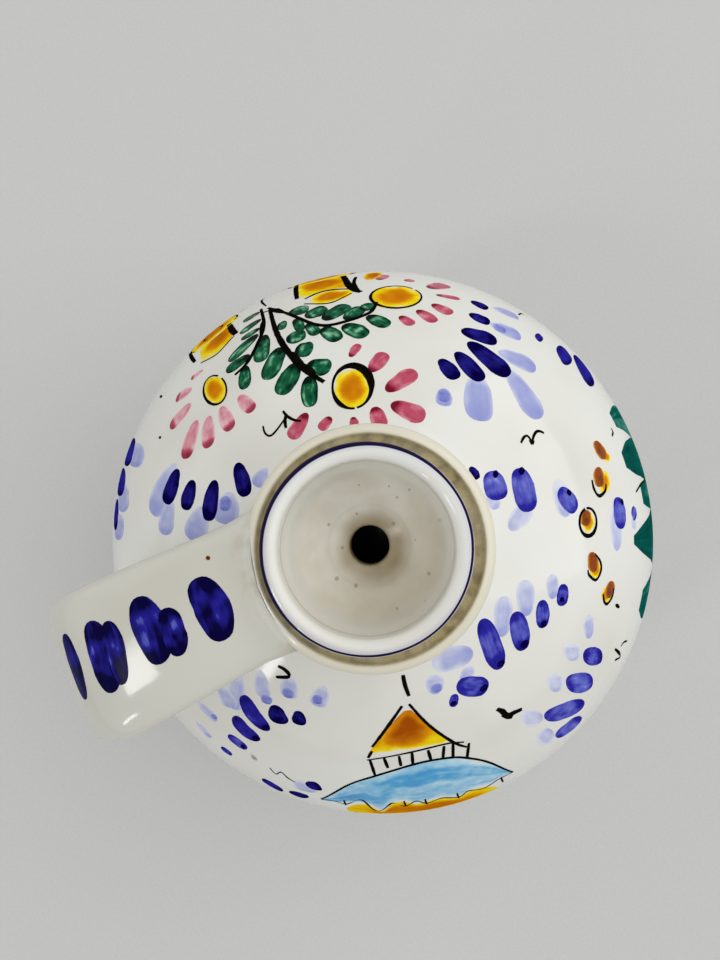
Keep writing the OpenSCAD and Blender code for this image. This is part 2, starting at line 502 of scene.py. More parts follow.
def rough_mesh(name: str, runs: Sequence[Sequence[Vector]], ring: bool = False,
               **attributes: Sequence[Any]) -> Mesh:
    """Makes a mesh of loose points or of chains of points.

    Args:
        name: The mesh's name.
        runs: The chains; a chain of one point is a loose point.
        ring: True if each chain closes on itself.
        attributes: A number or a vector for each point, by name.

    Returns:
        The mesh.
    """
    points: list[Vector] = []
    edges: list[tuple[int, int]] = []
    for run in runs:
        first = len(points)
        points.extend(run)
        edges.extend((i, i + 1) for i in range(first, len(points) - 1))
        if ring:
            edges.append((len(points) - 1, first))
    mesh = bpy.data.meshes.new(name)
    mesh.from_pydata(points, edges, [])
    for label, values in attributes.items():
        if isinstance(values[0], Vector):
            data = mesh.attributes.new(label, VECTOR, "POINT").data
            data.foreach_set("vector", [c for v in values for c in v])
        else:
            mesh.attributes.new(label, "FLOAT", "POINT").data.foreach_set("value", values)
    return mesh


class Turner(Former):
    """Turns a half section about the jug's axis, as on a potter's wheel."""

    def __init__(self) -> None:
        """Builds the tree."""
        super().__init__("turned_section", {"Segments": "Int", "Shift": "Vector"})
        wheel, section = self.hoop(self.given["Segments"]), self.placed(self.chain(), "section")
        radius, _, height = self.split(self.named("section", VECTOR))
        turn = self.named("turn")
        east = self.times(radius, self.math("COSINE", turn))
        north = self.times(radius, self.math("SINE", turn))
        place = self.vector("ADD", self.combine(east, north, height), self.given["Shift"])
        self.close(self.moved(self.swept(wheel, section), place))


class StrapLofter(Former):
    """Lofts a strap along its stations, wrapped round the collar at its root."""

    def __init__(self) -> None:
        """Builds the tree."""
        super().__init__("lofted_strap", {"Sides": "Int", "Square": "Float", "Collar Radius": "Float"})
        spine, band = self.placed(self.chain(), "middle"), self.hoop(self.given["Sides"])
        turn = self.named("turn")
        side = self.times(self.squared(self.math("SINE", turn)), self.named("half"))
        rise = self.scaled(self.named("rise", VECTOR), self.squared(self.math("COSINE", turn)))
        middle = self.named("middle", VECTOR)
        _, sway, _ = self.split(middle)
        level = self.total(side, sway)
        radius = self.given["Collar Radius"]
        chord = self.minus(self.times(radius, radius), self.times(level, level))
        sag = self.minus(radius, self.math("SQRT", self.math("MAXIMUM", chord, 0.0)))
        wrap = self.times(sag, self.named("wrap"))
        place = self.vector("ADD", self.vector("ADD", middle, rise), self.combine(wrap, side, 0.0))
        self.close(self.moved(self.swept(spine, band, caps=True), place))

    def squared(self, wave: Socket) -> Socket:
        """Gives a sine or cosine with squarer shoulders and the same sign."""
        size = self.math("POWER", self.math("ABSOLUTE", wave), self.given["Square"])
        return self.times(size, self.math("SIGN", wave))


class FilmFormer(Former):
    """Lays thin closed films of pigment on a surface."""

    def __init__(self, name: str, inputs: dict[str, str]) -> None:
        """Starts the tree with the surface, the film's depth and its ragged edge as inputs."""
        shared = {"Surface": "Object", "Reach": "Float", "Depth": "Float", "Ragged": "Float"}
        super().__init__(name, {**shared, **inputs})

    def unsteady(self, place: Socket, scale: float, detail: float) -> Socket:
        """Gives the share of its plain width that a film with a ragged edge has at a place."""
        return self.fit(self.swing(place, scale, detail), self.given["Ragged"], 1.0)

    def laid(self, film: Socket, target: Socket, top: Socket) -> Socket:
        """Drops a film on the surface.

        Args:
            film: The film's mesh.
            target: Where each of its points stands before it drops.
            top: 1 on the film's upper side, 0 on its sunk underside.

        Returns:
            The film on the surface.
        """
        facing = self.named("facing", VECTOR)
        reach = self.given["Reach"]
        solid = self.add("GeometryNodeObjectInfo", {"Object": self.given["Surface"]}).outputs["Geometry"]
        ray = self.add("GeometryNodeRaycast", {
            "Target Geometry": solid,
            "Source Position": self.vector("ADD", target, self.scaled(facing, reach)),
            "Ray Direction": self.scaled(facing, -1.0),
            "Ray Length": self.times(reach, 2.0),
        })
        feeds = {"Switch": ray.outputs["Is Hit"], "False": target, "True": ray.outputs["Hit Position"]}
        foot = self.give("GeometryNodeSwitch", feeds, input_type="VECTOR")
        feeds = {0: top, 2: self.times(self.given["Depth"], -1.0), 3: self.named("lift")}
        height = self.give("ShaderNodeMix", feeds)
        return self.moved(film, self.vector("ADD", foot, self.scaled(facing, height)))


class DabFormer(FilmFormer):
    """Repeats a brush dab at each point, shaped and turned by the point's own values."""

    def __init__(self, power: float = 2.4, least: float = 0.05) -> None:
        """Builds the tree.

        Args:
            power: Fullness of a dab's outline; 2 is an ellipse.
            least: Least width of a dab, as a share of its full width.
        """
        super().__init__("brush_dabs", {})
        feeds = {"Size": (2.0, 2.0, 2.0), "Vertices X": 15, "Vertices Y": 5, "Vertices Z": 2}
        patch = self.placed(self.give("GeometryNodeMeshCube", feeds), "patch")
        feeds = {"Points": self.placed(self.given["Geometry"], "middle"), "Instance": patch}
        dabs = self.give("GeometryNodeInstanceOnPoints", feeds)
        dabs = self.give("GeometryNodeRealizeInstances", {"Geometry": dabs})
        x, across, z = self.split(self.named("patch", VECTOR))
        along = self.math("SINE", self.times(x, pi / 2))
        bulge = self.math("POWER", self.math("ABSOLUTE", along), power)
        bulge = self.math("POWER", self.minus(1.0, bulge), 1 / power)
        bulge = self.times(bulge, self.fit(along, self.named("egg"), 1.0))
        hand = self.combine(along, across, self.times(self.named("seed"), 23.0))
        bulge = self.math("MAXIMUM", self.times(bulge, self.unsteady(hand, 1.6, 1.0)), least)
        arch = self.minus(1.0, self.times(along, along))
        side = self.fit(across, bulge, self.times(arch, self.named("bow")))
        target = self.named("middle", VECTOR)
        for name, share in (("heading", along), ("sideways", side)):
            target = self.vector("ADD", target, self.scaled(self.named(name, VECTOR), share))
        dabs = self.store(self.store(dabs, "along", along), "across", across)
        self.close(self.laid(dabs, target, self.math("GREATER_THAN", z, 0.0)))


class LineFormer(FilmFormer):
    """Sweeps a brush line of changing width along each chain of points."""

    def __init__(self) -> None:
        """Builds the tree."""
        super().__init__("brush_lines", {"Sides": "Int", "Step": "Float"})
        route = self.give("GeometryNodeCurveSplineType", {"Curve": self.chain()}, spline_type="CATMULL_ROM")
        feeds = {"Curve": route, "Length": self.given["Step"]}
        route = self.placed(self.give("GeometryNodeResampleCurve", feeds, mode="LENGTH"), "middle")
        factor = self.give("GeometryNodeSplineParameter")
        route = self.store(route, "along", self.fit(factor, 2.0, -1.0))
        brush = self.placed(self.circle(self.given["Sides"], 1.0), "patch")
        film = self.swept(route, brush, caps=True)
        across, up, _ = self.split(self.named("patch", VECTOR))
        middle = self.named("middle", VECTOR)
        ragged = self.unsteady(self.scaled(middle, 1 / MM), 0.45, 2.0)
        film = self.store(film, "across", across)
        side = self.scaled(self.named("sideways", VECTOR), self.times(ragged, across))
        top = self.math("GREATER_THAN", up, -0.01)
        self.close(self.laid(film, self.vector("ADD", middle, side), top))


class Section:
    """Half section of a turned piece, drawn as radius and height in millimetres."""

    def __init__(self, radius: float, height: float) -> None:
        """Starts at one point."""
        self.points: list[Corner] = [(radius, height)]

    def line(self, radius: float, height: float, steps: int = 1) -> "Section":
        """Draws a straight run to a point.

        Args:
            radius: Radius of the point.
            height: Height of the point.
            steps: Count of its steps.

        Returns:
            The section.
        """
        r, z = self.points[-1]
        self.points += [
            (r + (radius - r) * i / steps, z + (height - z) * i / steps) for i in range(1, steps + 1)
        ]
        return self

    def arc(self, centre: Corner, radius: float, start: float, end: float, steps: int) -> "Section":
        """Draws a round run.

        Args:
            centre: Radius and height of the arc's centre.
            radius: The arc's own radius.
            start: Angle of its first point, in degrees up from the outward direction.
            end: Angle of its last point.
            steps: Count of its steps.

        Returns:
            The section.
        """
        for i in range(steps + 1):
            angle = radians(start + (end - start) * i / steps)
            point = (centre[0] + radius * cos(angle), centre[1] + radius * sin(angle))
            if dist(point, self.points[-1]) > 1e-4:
                self.points.append(point)
        return self

    def ease(self, leave: Corner, arrive: Corner, end: Corner, steps: int) -> "Section":
        """Draws a soft curve from the last point.

        Args:
            leave: Handle that the curve leaves towards.
            arrive: Handle that the curve arrives from.
            end: The curve's last point.
            steps: Count of its steps.

        Returns:
            The section.
        """
        start = self.points[-1]
        for i in range(1, steps + 1):
            t = i / steps
            weights = ((1 - t) ** 3, 3 * t * (1 - t) ** 2, 3 * t * t * (1 - t), t ** 3)
            corners = (start, leave, arrive, end)
            self.points.append(tuple(sum(w * c[k] for w, c in zip(weights, corners)) for k in (0, 1)))
        return self

    def mesh(self, name: str, ring: bool) -> Mesh:
        """Gives the section as a chain of points, closed on itself if it is a ring."""
        return rough_mesh(name, [[Vector((r * MM, 0.0, z * MM)) for r, z in self.points]], ring)


@dataclass(frozen=True)
class JugFrame:
    """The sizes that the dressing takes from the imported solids, in millimetres."""

    body_r: float  # Outer radius of the body
    body_z: float  # Height of the body's centre
    foot_r: float  # Outer radius of the foot ring
    foot_h: float  # Height of the foot ring
    collar_r: float  # Outer radius of the collar
    collar_top: float  # Height of the collar's top
    lip_z: float  # Height of the lip
    reach: float  # Distance of the strap's outer face from the axis

    @classmethod
    def measured(cls) -> "JugFrame":
        """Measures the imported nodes.

        Returns:
            The sizes.
        """
        high = {name: [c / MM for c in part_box(name)[1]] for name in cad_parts}
        return cls(
            body_r=high["upper_dome"][0],
            body_z=high["lower_bowl"][2],
            foot_r=high["foot_ring"][0],
            foot_h=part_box("lower_bowl")[0][2] / MM,
            collar_r=high["collar"][0],
            collar_top=high["collar"][2],
            lip_z=high["mouth_cup"][2],
            reach=-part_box("handle")[0][0] / MM,
        )

    def globe_z(self, radius: float) -> float:
        """Height of the upper half of the globe at a distance from the axis."""
        return self.body_z + sqrt(self.body_r ** 2 - radius ** 2)

    def globe_point(self, turn: float, polar: float) -> Vector:
        """Gives a point of the globe in scene units.

        Args:
            turn: Degrees round the axis from +X.
            polar: Degrees down from the crown.

        Returns:
            The point.
        """
        t, p = radians(turn), radians(polar)
        out = Vector((sin(p) * cos(t), sin(p) * sin(t), cos(p)))
        return (out * self.body_r + Vector((0.0, 0.0, self.body_z))) * MM


@dataclass(frozen=True)
class PhotoView:
    """The photo's camera, which looks down on the jug, and the rays through its pixels."""

    jug: JugFrame  # The jug's sizes
    width: int = 720  # Width of the photo's frame in pixels
    height: int = 960  # Height of the photo's frame in pixels
    focal: float = 732.8  # Focal length in pixels
    right: float = 4.32  # How far the camera stands to the picture's right of the axis, in millimetres
    up: float = 5.54  # How far it stands towards the picture's top, in millimetres
    rise: float = 260.9  # Its height over the body's centre, in millimetres
    # How far the jug's axis leans in the picture, right and up, per unit of depth
    lean: tuple[float, float] = (-0.0439, 0.0537)
    turn: float = 24.0  # Degrees from the picture's right to the jug's +X
    sensor: float = 36.0  # Width of the sensor in millimetres

    def axes(self) -> tuple[Vector, Vector, Vector]:
        """Finds the jug's level and upright directions in camera space.

        Returns:
            The picture's right, its top and the jug's axis.
        """
        upright = Vector((*self.lean, 1.0)).normalized()
        right = (Vector((1.0, 0.0, 0.0)) - upright * upright.x).normalized()
        return right, upright.cross(right), upright

    def turned(self) -> Matrix:
        """Gives the rotation from camera space to the jug's frame.

        Returns:
            The rotation.
        """
        right, top, upright = self.axes()
        c, s = cos(radians(self.turn)), sin(radians(self.turn))
        return Matrix((right * c + top * s, top * c - right * s, upright))

    def place(self) -> Vector:
        """Gives the camera's place in scene units.

        Returns:
            The place.
        """
        right, top, upright = self.axes()
        offset = self.turned() @ (right * self.right + top * self.up + upright * self.rise)
        return (offset + Vector((0.0, 0.0, self.jug.body_z))) * MM

    def ray(self, pixel: Pixel) -> Vector:
        """Gives the direction through a pixel."""
        sight = Vector((pixel[0] - self.width / 2, self.height / 2 - pixel[1], -self.focal))
        return (self.turned() @ sight).normalized()

    def on_globe(self, pixel: Pixel) -> Vector:
        """Gives the point of the globe that a pixel shows, or its nearest point past the outline.

        Args:
            pixel: The pixel.

        Returns:
            The point in scene units.
        """
        eye, sight = self.place(), self.ray(pixel)
        centre = Vector((0.0, 0.0, self.jug.body_z * MM))
        radius = self.jug.body_r * MM
        middle = (centre - eye).dot(sight)
        miss = (eye + sight * middle - centre).length
        depth = sqrt(max(radius ** 2 - miss ** 2, 0.0))
        return centre + (eye + sight * (middle - depth) - centre).normalized() * radius

    def level(self, right: float, top: float) -> Vector:
        """Gives a level direction of the jug's frame from the picture's right and top."""
        c, s = cos(radians(self.turn)), sin(radians(self.turn))
        return Vector((right * c + top * s, top * c - right * s, 0.0)).normalized()

    def build(self) -> None:
        """Makes the camera."""
        data = bpy.data.cameras.new("photo_view")
        data.sensor_fit = "HORIZONTAL"
        data.sensor_width = self.sensor
        data.lens = self.focal / self.width * self.sensor
        data.clip_start = 10 * MM
        camera = add_object("photo_view", data)
        camera.matrix_world = Matrix.Translation(self.place()) @ self.turned().to_4x4()
        bpy.context.scene.camera = camera


def settle(piece: Piece, slot: str, *nodes: str) -> Piece:
    """Fixes a finished piece to the jug's body.

    Args:
        piece: The piece.
        slot: Not used.
        nodes: The solids that it stands for.

    Returns:
        The piece.
    """
    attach(piece, BODY)
    if nodes:
        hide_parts(*nodes)
    return piece


def eased(share: float) -> float:
    """Gives a share from 0 to 1 with a soft start and end."""
    return share * share * (3 - 2 * share)


@dataclass
class Turned:
    """A piece that is turned on the wheel."""

    jug: JugFrame  # The jug's sizes
    turner: Turner  # The tree that turns the section
    glaze: Glaze  # The white glaze


@dataclass
class Vessel(Turned):
    """The hollow body with its neck and collar, thrown and glazed as one."""

    wall: float = 5.0  # Wall thickness of the body in millimetres
    floor: float = 7.0  # Thickness of the floor
    bore: float = 11.5  # Radius of the neck's bore
    step: float = 3.5  # How far the bore widens where it opens into the body
    waist: float = 16.5  # Outer radius of the neck at its waist
    waist_drop: float = 3.0  # How far the waist lies below the middle of the neck
    shoulder: float = 31.0  # Radius at which the neck's foot runs out on the globe
    pull: float = 9.5  # How far the neck's foot follows the globe there
    collar_depth: float = 4.4  # Height of the collar's straight side under its rounded top
    collar_round: float = 2.6  # Radius of the collar's rounded top
    groove_r: float = 22.0  # Outer radius of the groove beside the lip
    groove_d: float = 1.0  # Depth of the groove
    groove_edge: float = 0.12  # How far the groove's outer edge is rounded
    seat_r: float = 19.3  # Radius at which the groove's floor ends under the lip
    seat_d: float = 7.0  # Depth of the cup's seat under the collar's top
    soil: Rgb = (164, 148, 98)  # Colour of the dirt in the groove
    grime: Rgb = (124, 108, 64)  # Colour of its darkest patches
    ivory: Rgb = (223, 216, 191)  # Colour of the thick glaze on the collar
    segments: int = 224  # Steps round the axis

    def section(self) -> Section:
        """Draws the section from the floor inside, up the throat, over the collar and down to the foot.

        Returns:
            The section.
        """
        jug, top = self.jug, self.jug.collar_top
        centre, inner = (0.0, jug.body_z), jug.body_r - self.wall
        floor_z, groove_z = jug.foot_h + self.floor, top - self.groove_d
        low = degrees(asin((floor_z + 2.0 - jug.body_z) / inner))
        high = degrees(acos((self.bore + self.step) / inner))
        neck_low = jug.body_z + inner * sin(radians(high)) - 2.5
        waist_z = (top + jug.globe_z(self.waist)) / 2 - self.waist_drop
        section = Section(0.0, floor_z).line(inner * cos(radians(low)) - 3.0, floor_z, 6)
        section.arc(centre, inner, low, high, 44)
        section.line(self.bore + self.step, neck_low).line(self.bore, neck_low)
        section.line(self.bore, waist_z, 4).line(self.seat_r, top - self.seat_d, 4)
        section.line(self.seat_r, groove_z, 2).line(self.groove_r - 0.5, groove_z, 4)
        edge, side_z = self.groove_r + self.groove_edge, top - self.collar_round
        section.ease((self.groove_r, groove_z), (self.groove_r, top - 0.3), (edge, top - 0.28), 6)
        lean = degrees(acos((edge - jug.collar_r + self.collar_round) / self.collar_round))
        section.arc((jug.collar_r - self.collar_round, side_z), self.collar_round, lean - 4.0, 0.0, 10)
        under = side_z - self.collar_depth
        section.line(jug.collar_r, under, 3)
        section.ease((jug.collar_r, under - 3.4), (self.waist, waist_z + 6.0), (self.waist, waist_z), 14)
        slope, shoulder_z = asin(self.shoulder / jug.body_r), jug.globe_z(self.shoulder)
        arrive = (self.shoulder - self.pull * cos(slope), shoulder_z + self.pull * sin(slope))
        section.ease((self.waist, waist_z - 7.0), arrive, (self.shoulder, shoulder_z), 16)
        foot = degrees(asin((jug.foot_h - jug.body_z) / jug.body_r))
        section.arc(centre, jug.body_r, 90 - degrees(slope), foot, 84)
        return section.line(0.0, jug.foot_h + 0.6, 8)

    def finish(self) -> Material:
        """Makes the glaze, ivory on the collar and soiled in the groove.

        Returns:
            The material.
        """
        s = Shader("vessel_glaze")
        x, y, z = s.split(s.place)
        radius = s.off_axis(x, y)
        top = self.jug.collar_top * MM
        on_collar = s.smooth(z, top - 11 * MM, top - 5 * MM)
        strap_side = s.smooth(s.math("DIVIDE", x, radius), -0.82, -0.97)
        cream = s.times(on_collar, s.fit(strap_side, -0.72, 0.75))
        colour = s.blend(cream, self.glaze.coat(s), self.ivory)
        inside = s.smooth(radius, (self.groove_r + 0.9) * MM, (self.groove_r - 0.3) * MM)
        high = s.smooth(z, top - 2.2 * MM, top - 1.4 * MM)
        dirt = s.times(inside, high, s.fit(s.noise(s.place, 130.0, 3.0), 0.55, 0.6))
        grime = s.smooth(s.noise(s.place, 420.0, 4.0), 0.42, 0.68)
        colour = s.blend(dirt, colour, s.blend(grime, self.soil, self.grime))
        return s.skin(colour, self.glaze.roughness(s, dirt), self.glaze.ripple)

    def build(self) -> Piece:
        """Turns and dresses the vessel.

        Returns:
            The vessel.
        """
        rough = self.section().mesh("vessel_section", ring=False)
        piece = self.turner.form("vessel", rough, Segments=self.segments, Material=self.finish())
        return settle(piece, "white_glaze", "lower_bowl", "upper_dome", "neck", "collar")


@dataclass
class MouthCup(Turned):
    """The cup with its half-round lip, its painted line and its throat, set a little off the axis."""

    shift: Vector  # How far the cup stands off the axis
    press_to: Vector  # The side on which the brush pressed hardest on the painted line
    shaded_to: Vector  # The side towards which painted shade darkens the cup's floor
    stain_shift: Vector  # How far the stain's middle lies off the throat
    lip_r: float = 20.5  # Outer radius of the lip in millimetres
    wall: float = 3.5  # Wall thickness of the cup
    rim_depth: float = 5.0  # Depth of the upright wall under the lip
    ledge: float = 0.12  # Step inwards where the upright wall ends
    throat_r: float = 4.3  # Radius of the throat hole
    throat_edge: float = 0.8  # How far the throat's upper edge is rounded
    throat_wall: float = 3.0  # Wall thickness of the throat
    throat_drop: float = 2.5  # How far the throat reaches below the cup's round
    line_r: float = 20.0  # Radius of the painted line on the lip
    line_w: float = 0.72  # Width of the painted line
    # The two colours of the glaze on the cup's floor
    warm: tuple[Rgb, Rgb] = ((238, 235, 226), (224, 218, 203))
    wear_and_shade: Rgb = (186, 173, 142)  # Colour of the painted shade on the floor's darker side
    stain: Rgb = (150, 129, 84)  # Colour of the stain round the throat
    halo: Rgb = (160, 150, 128)  # Colour of the faint ring round the stain
    crease: Rgb = (140, 128, 108)  # Colour of the thin darker line in the bend of the wall
    grit: Rgb = (112, 98, 76)  # Colour of the grains on the floor
    bleed: Rgb = (178, 174, 196)  # Colour that the painted line bleeds into the lip
    ink: Rgb = (20, 11, 56)  # Colour of the painted line
    segments: int = 192  # Steps round the axis

    def section(self) -> Section:
        """Draws the closed section, from the throat's lower end up the inside and down the outside.

        Returns:
            The section.
        """
        lip_z, hole, round_r = self.jug.lip_z, self.throat_r, self.wall / 2
        bowl_z, inner = lip_z - self.rim_depth, self.lip_r - self.wall
        throat_low = bowl_z - self.lip_r - self.throat_drop
        bowl_r = inner - self.ledge
        start = degrees(acos((hole + self.throat_edge) / bowl_r))
        edge_z = bowl_z - bowl_r * sin(radians(start))
        section = Section(hole, throat_low).line(hole, edge_z - 1.2, 3)
        section.ease((hole, edge_z - 0.4), (hole + 0.3, edge_z - 0.2), (hole + self.throat_edge, edge_z), 5)
        section.arc((0.0, bowl_z), bowl_r, -start, -2.0, 30)
        section.ease((bowl_r, bowl_z + 0.3), (inner, bowl_z), (inner, bowl_z + 0.6), 6)
        section.line(inner, lip_z - round_r, 3)
        section.arc((self.lip_r - round_r, lip_z - round_r), round_r, 180.0, 0.0, 24)
        section.line(self.lip_r, bowl_z, 4)
        outer = degrees(acos((hole + self.throat_wall) / self.lip_r))
        section.arc((0.0, bowl_z), self.lip_r, 0.0, -outer, 20)
        return section.line(hole + self.throat_wall, throat_low)

    def finish(self) -> Material:
        """Makes the cup's glaze: stained round the throat, with painted shade on one side of its floor and
        the painted line on its lip.

        Returns:
            The material.
        """
        s = Shader("cup_glaze")
        local = s.vector("SUBTRACT", s.place, tuple(self.shift))
        x, y, z = s.split(local)
        radius, lip = s.off_axis(x, y), self.jug.lip_z * MM
        patches = s.noise(s.place, 140.0, 3.0)
        low = s.smooth(z, lip - 4.0 * MM, lip - 6.0 * MM)
        floor = s.times(s.smooth(radius, 17.2 * MM, 13.5 * MM), 0.85, low)
        warm = s.blend(s.smooth(patches, 0.3, 0.7), *self.warm)
        # Painted shade: the floor darkens towards one side, where less light falls into the cup
        wear_and_shade = s.math("DIVIDE", s.vector("DOT_PRODUCT", local, tuple(self.shaded_to)), 17.0 * MM)
        wear_and_shade = s.times(s.smooth(wear_and_shade, -0.5, 0.7), s.times(floor, 0.5))
        sx, sy, _ = s.split(s.vector("SUBTRACT", local, tuple(self.stain_shift)))
        stain = s.smooth(s.off_axis(sx, sy), 9.6 * MM, 5.2 * MM)
        stain = s.times(stain, s.fit(patches, 0.5, 0.5))
        halo = s.times(s.smooth(radius, 8.2 * MM, 8.7 * MM), s.smooth(radius, 9.4 * MM, 8.8 * MM), 0.1)
        bend = s.math("ABSOLUTE", s.minus(z, lip - (self.rim_depth - 0.1) * MM))
        crease = s.times(s.smooth(bend, 0.5 * MM, 0.1 * MM), s.smooth(radius, 18.0 * MM, 17.4 * MM), 0.45)
        feeds = {"Vector": s.place, "Scale": 330.0}
        cells = s.add("ShaderNodeTexVoronoi", feeds, voronoi_dimensions="2D").outputs
        chosen, size, _ = s.split(cells["Color"])
        gap = s.minus(cells["Distance"], s.times(size, 0.12))
        grit = s.times(s.smooth(gap, 0.06, 0.02), s.math("GREATER_THAN", chosen, 0.78), floor, 0.55)
        high = s.smooth(z, lip - 2.2 * MM, lip - 1.2 * MM)
        bleed = s.times(s.smooth(radius, 18.4 * MM, 19.6 * MM), high, 0.5)
        line = s.times(self.stroke(s, x, y, radius), high)
        colour = self.glaze.coat(s)
        layers = (
            (floor, warm), (wear_and_shade, self.wear_and_shade), (stain, self.stain), (halo, self.halo),
            (crease, self.crease), (grit, self.grit), (bleed, self.bleed), (line, self.ink),
        )
        for share, tint in layers:
            colour = s.blend(share, colour, tint)
        shine = s.fit(line, -0.45, 0.5)
        return s.skin(colour, self.glaze.roughness(s, s.times(stain, 0.4)), self.glaze.ripple, shine)

    def stroke(self, s: Shader, x: Socket, y: Socket, radius: Socket) -> Socket:
        """Gives the painted line's mask, which sways and swells as the brush pressed.

        Args:
            s: The cup's material.
            x: Distance from the cup's axis towards +X.
            y: Distance towards +Y.
            radius: Distance from the axis.

        Returns:
            1 on the line, 0 beside it.
        """
        width = self.line_w
        sway = s.fit(s.noise(s.place, 60.0), 0.3 * MM, (self.line_r - 0.15) * MM)
        away = s.math("ABSOLUTE", s.minus(radius, sway))
        turned = s.vector("NORMALIZE", s.combine(x, y, 0.0))
        turned = s.smooth(s.vector("DOT_PRODUCT", turned, tuple(self.press_to)), -0.4, 0.9)
        heavy = s.fit(turned, 0.6 * width * MM, 0.2 * width * MM)
        press = s.fit(s.noise(s.place, 45.0), width * MM, heavy)
        return s.smooth(s.math("DIVIDE", away, press), 0.62, 0.45)

    def build(self) -> Piece:
        """Turns and dresses the cup.

        Returns:
            The cup.
        """
        rough = self.section().mesh("cup_section", ring=True)
        piece = self.turner.form("glazed_mouth_cup", rough, Segments=self.segments, Shift=tuple(self.shift),
                                 Material=self.finish())
        return settle(piece, "cup_glaze", "mouth_cup")


@dataclass
class FootRing(Turned):
    """The turned ring that the jug stands on, glazed outside and bare underneath."""

    width: float = 8.0  # Width of the ring in millimetres
    edge: float = 1.6  # Radius of its rounded lower edges
    flare: float = 3.0  # How far it runs out on the body
    clay: Rgb = (204, 176, 140)  # Colour of the bare clay
    grit: Rgb = (176, 146, 110)  # Colour of the clay's coarse grains
    segments: int = 160  # Steps round the axis

    def section(self) -> Section:
        """Draws the closed section, from the inner side round the standing edge to the body.

        Returns:
            The section.
        """
        jug = self.jug
        inner, outer = jug.foot_r - self.width, jug.foot_r
        run_r = outer + self.flare
        run_z = 2 * jug.body_z - jug.globe_z(run_r)
        section = Section(inner, jug.foot_h + 0.4).line(inner, self.edge, 3)
        section.arc((inner + self.edge, self.edge), self.edge, 180.0, 270.0, 8)
        section.arc((outer - self.edge, self.edge), self.edge, 270.0, 360.0, 8)
        section.line(outer, jug.foot_h - 1.6, 2)
        section.ease((outer, jug.foot_h + 0.4), (run_r - 1.2, run_z - 0.6), (run_r, run_z), 8)
        return section.line(outer, jug.foot_h + 2.4)

    def finish(self) -> Material:
        """Makes the glaze, wiped off the standing edge down to the bare clay.

        Returns:
            The material.
        """
        s = Shader("foot_glaze")
        _, _, z = s.split(s.place)
        bare = s.smooth(s.fit(s.noise(s.place, 160.0, 3.0), 0.9 * MM, z), 1.9 * MM, 1.4 * MM)
        clay = s.blend(s.smooth(s.noise(s.place, 900.0, 3.0), 0.35, 0.7), self.clay, self.grit)
        colour = s.blend(bare, self.glaze.coat(s), clay)
        return s.skin(colour, self.glaze.roughness(s, s.times(bare, 1.4)), self.glaze.ripple)

    def build(self) -> Piece:
        """Turns and dresses the foot ring.

        Returns:
            The ring.
        """
        rough = self.section().mesh("foot_section", ring=True)
        piece = self.turner.form("foot_ring_glazed", rough, Segments=self.segments, Material=self.finish())
        return settle(piece, "bare_clay", "foot_ring")


class Station(NamedTuple):
    """One place along the strap, in millimetres."""

    out: float  # Distance from the axis along -X
    sway: float  # Distance to the +Y side
    z: float  # Height
    rise: tuple[float, float]  # Outward and upward parts of half its thickness
    half: float  # Half its width
    wrap: float  # Share of the collar's round that the section follows


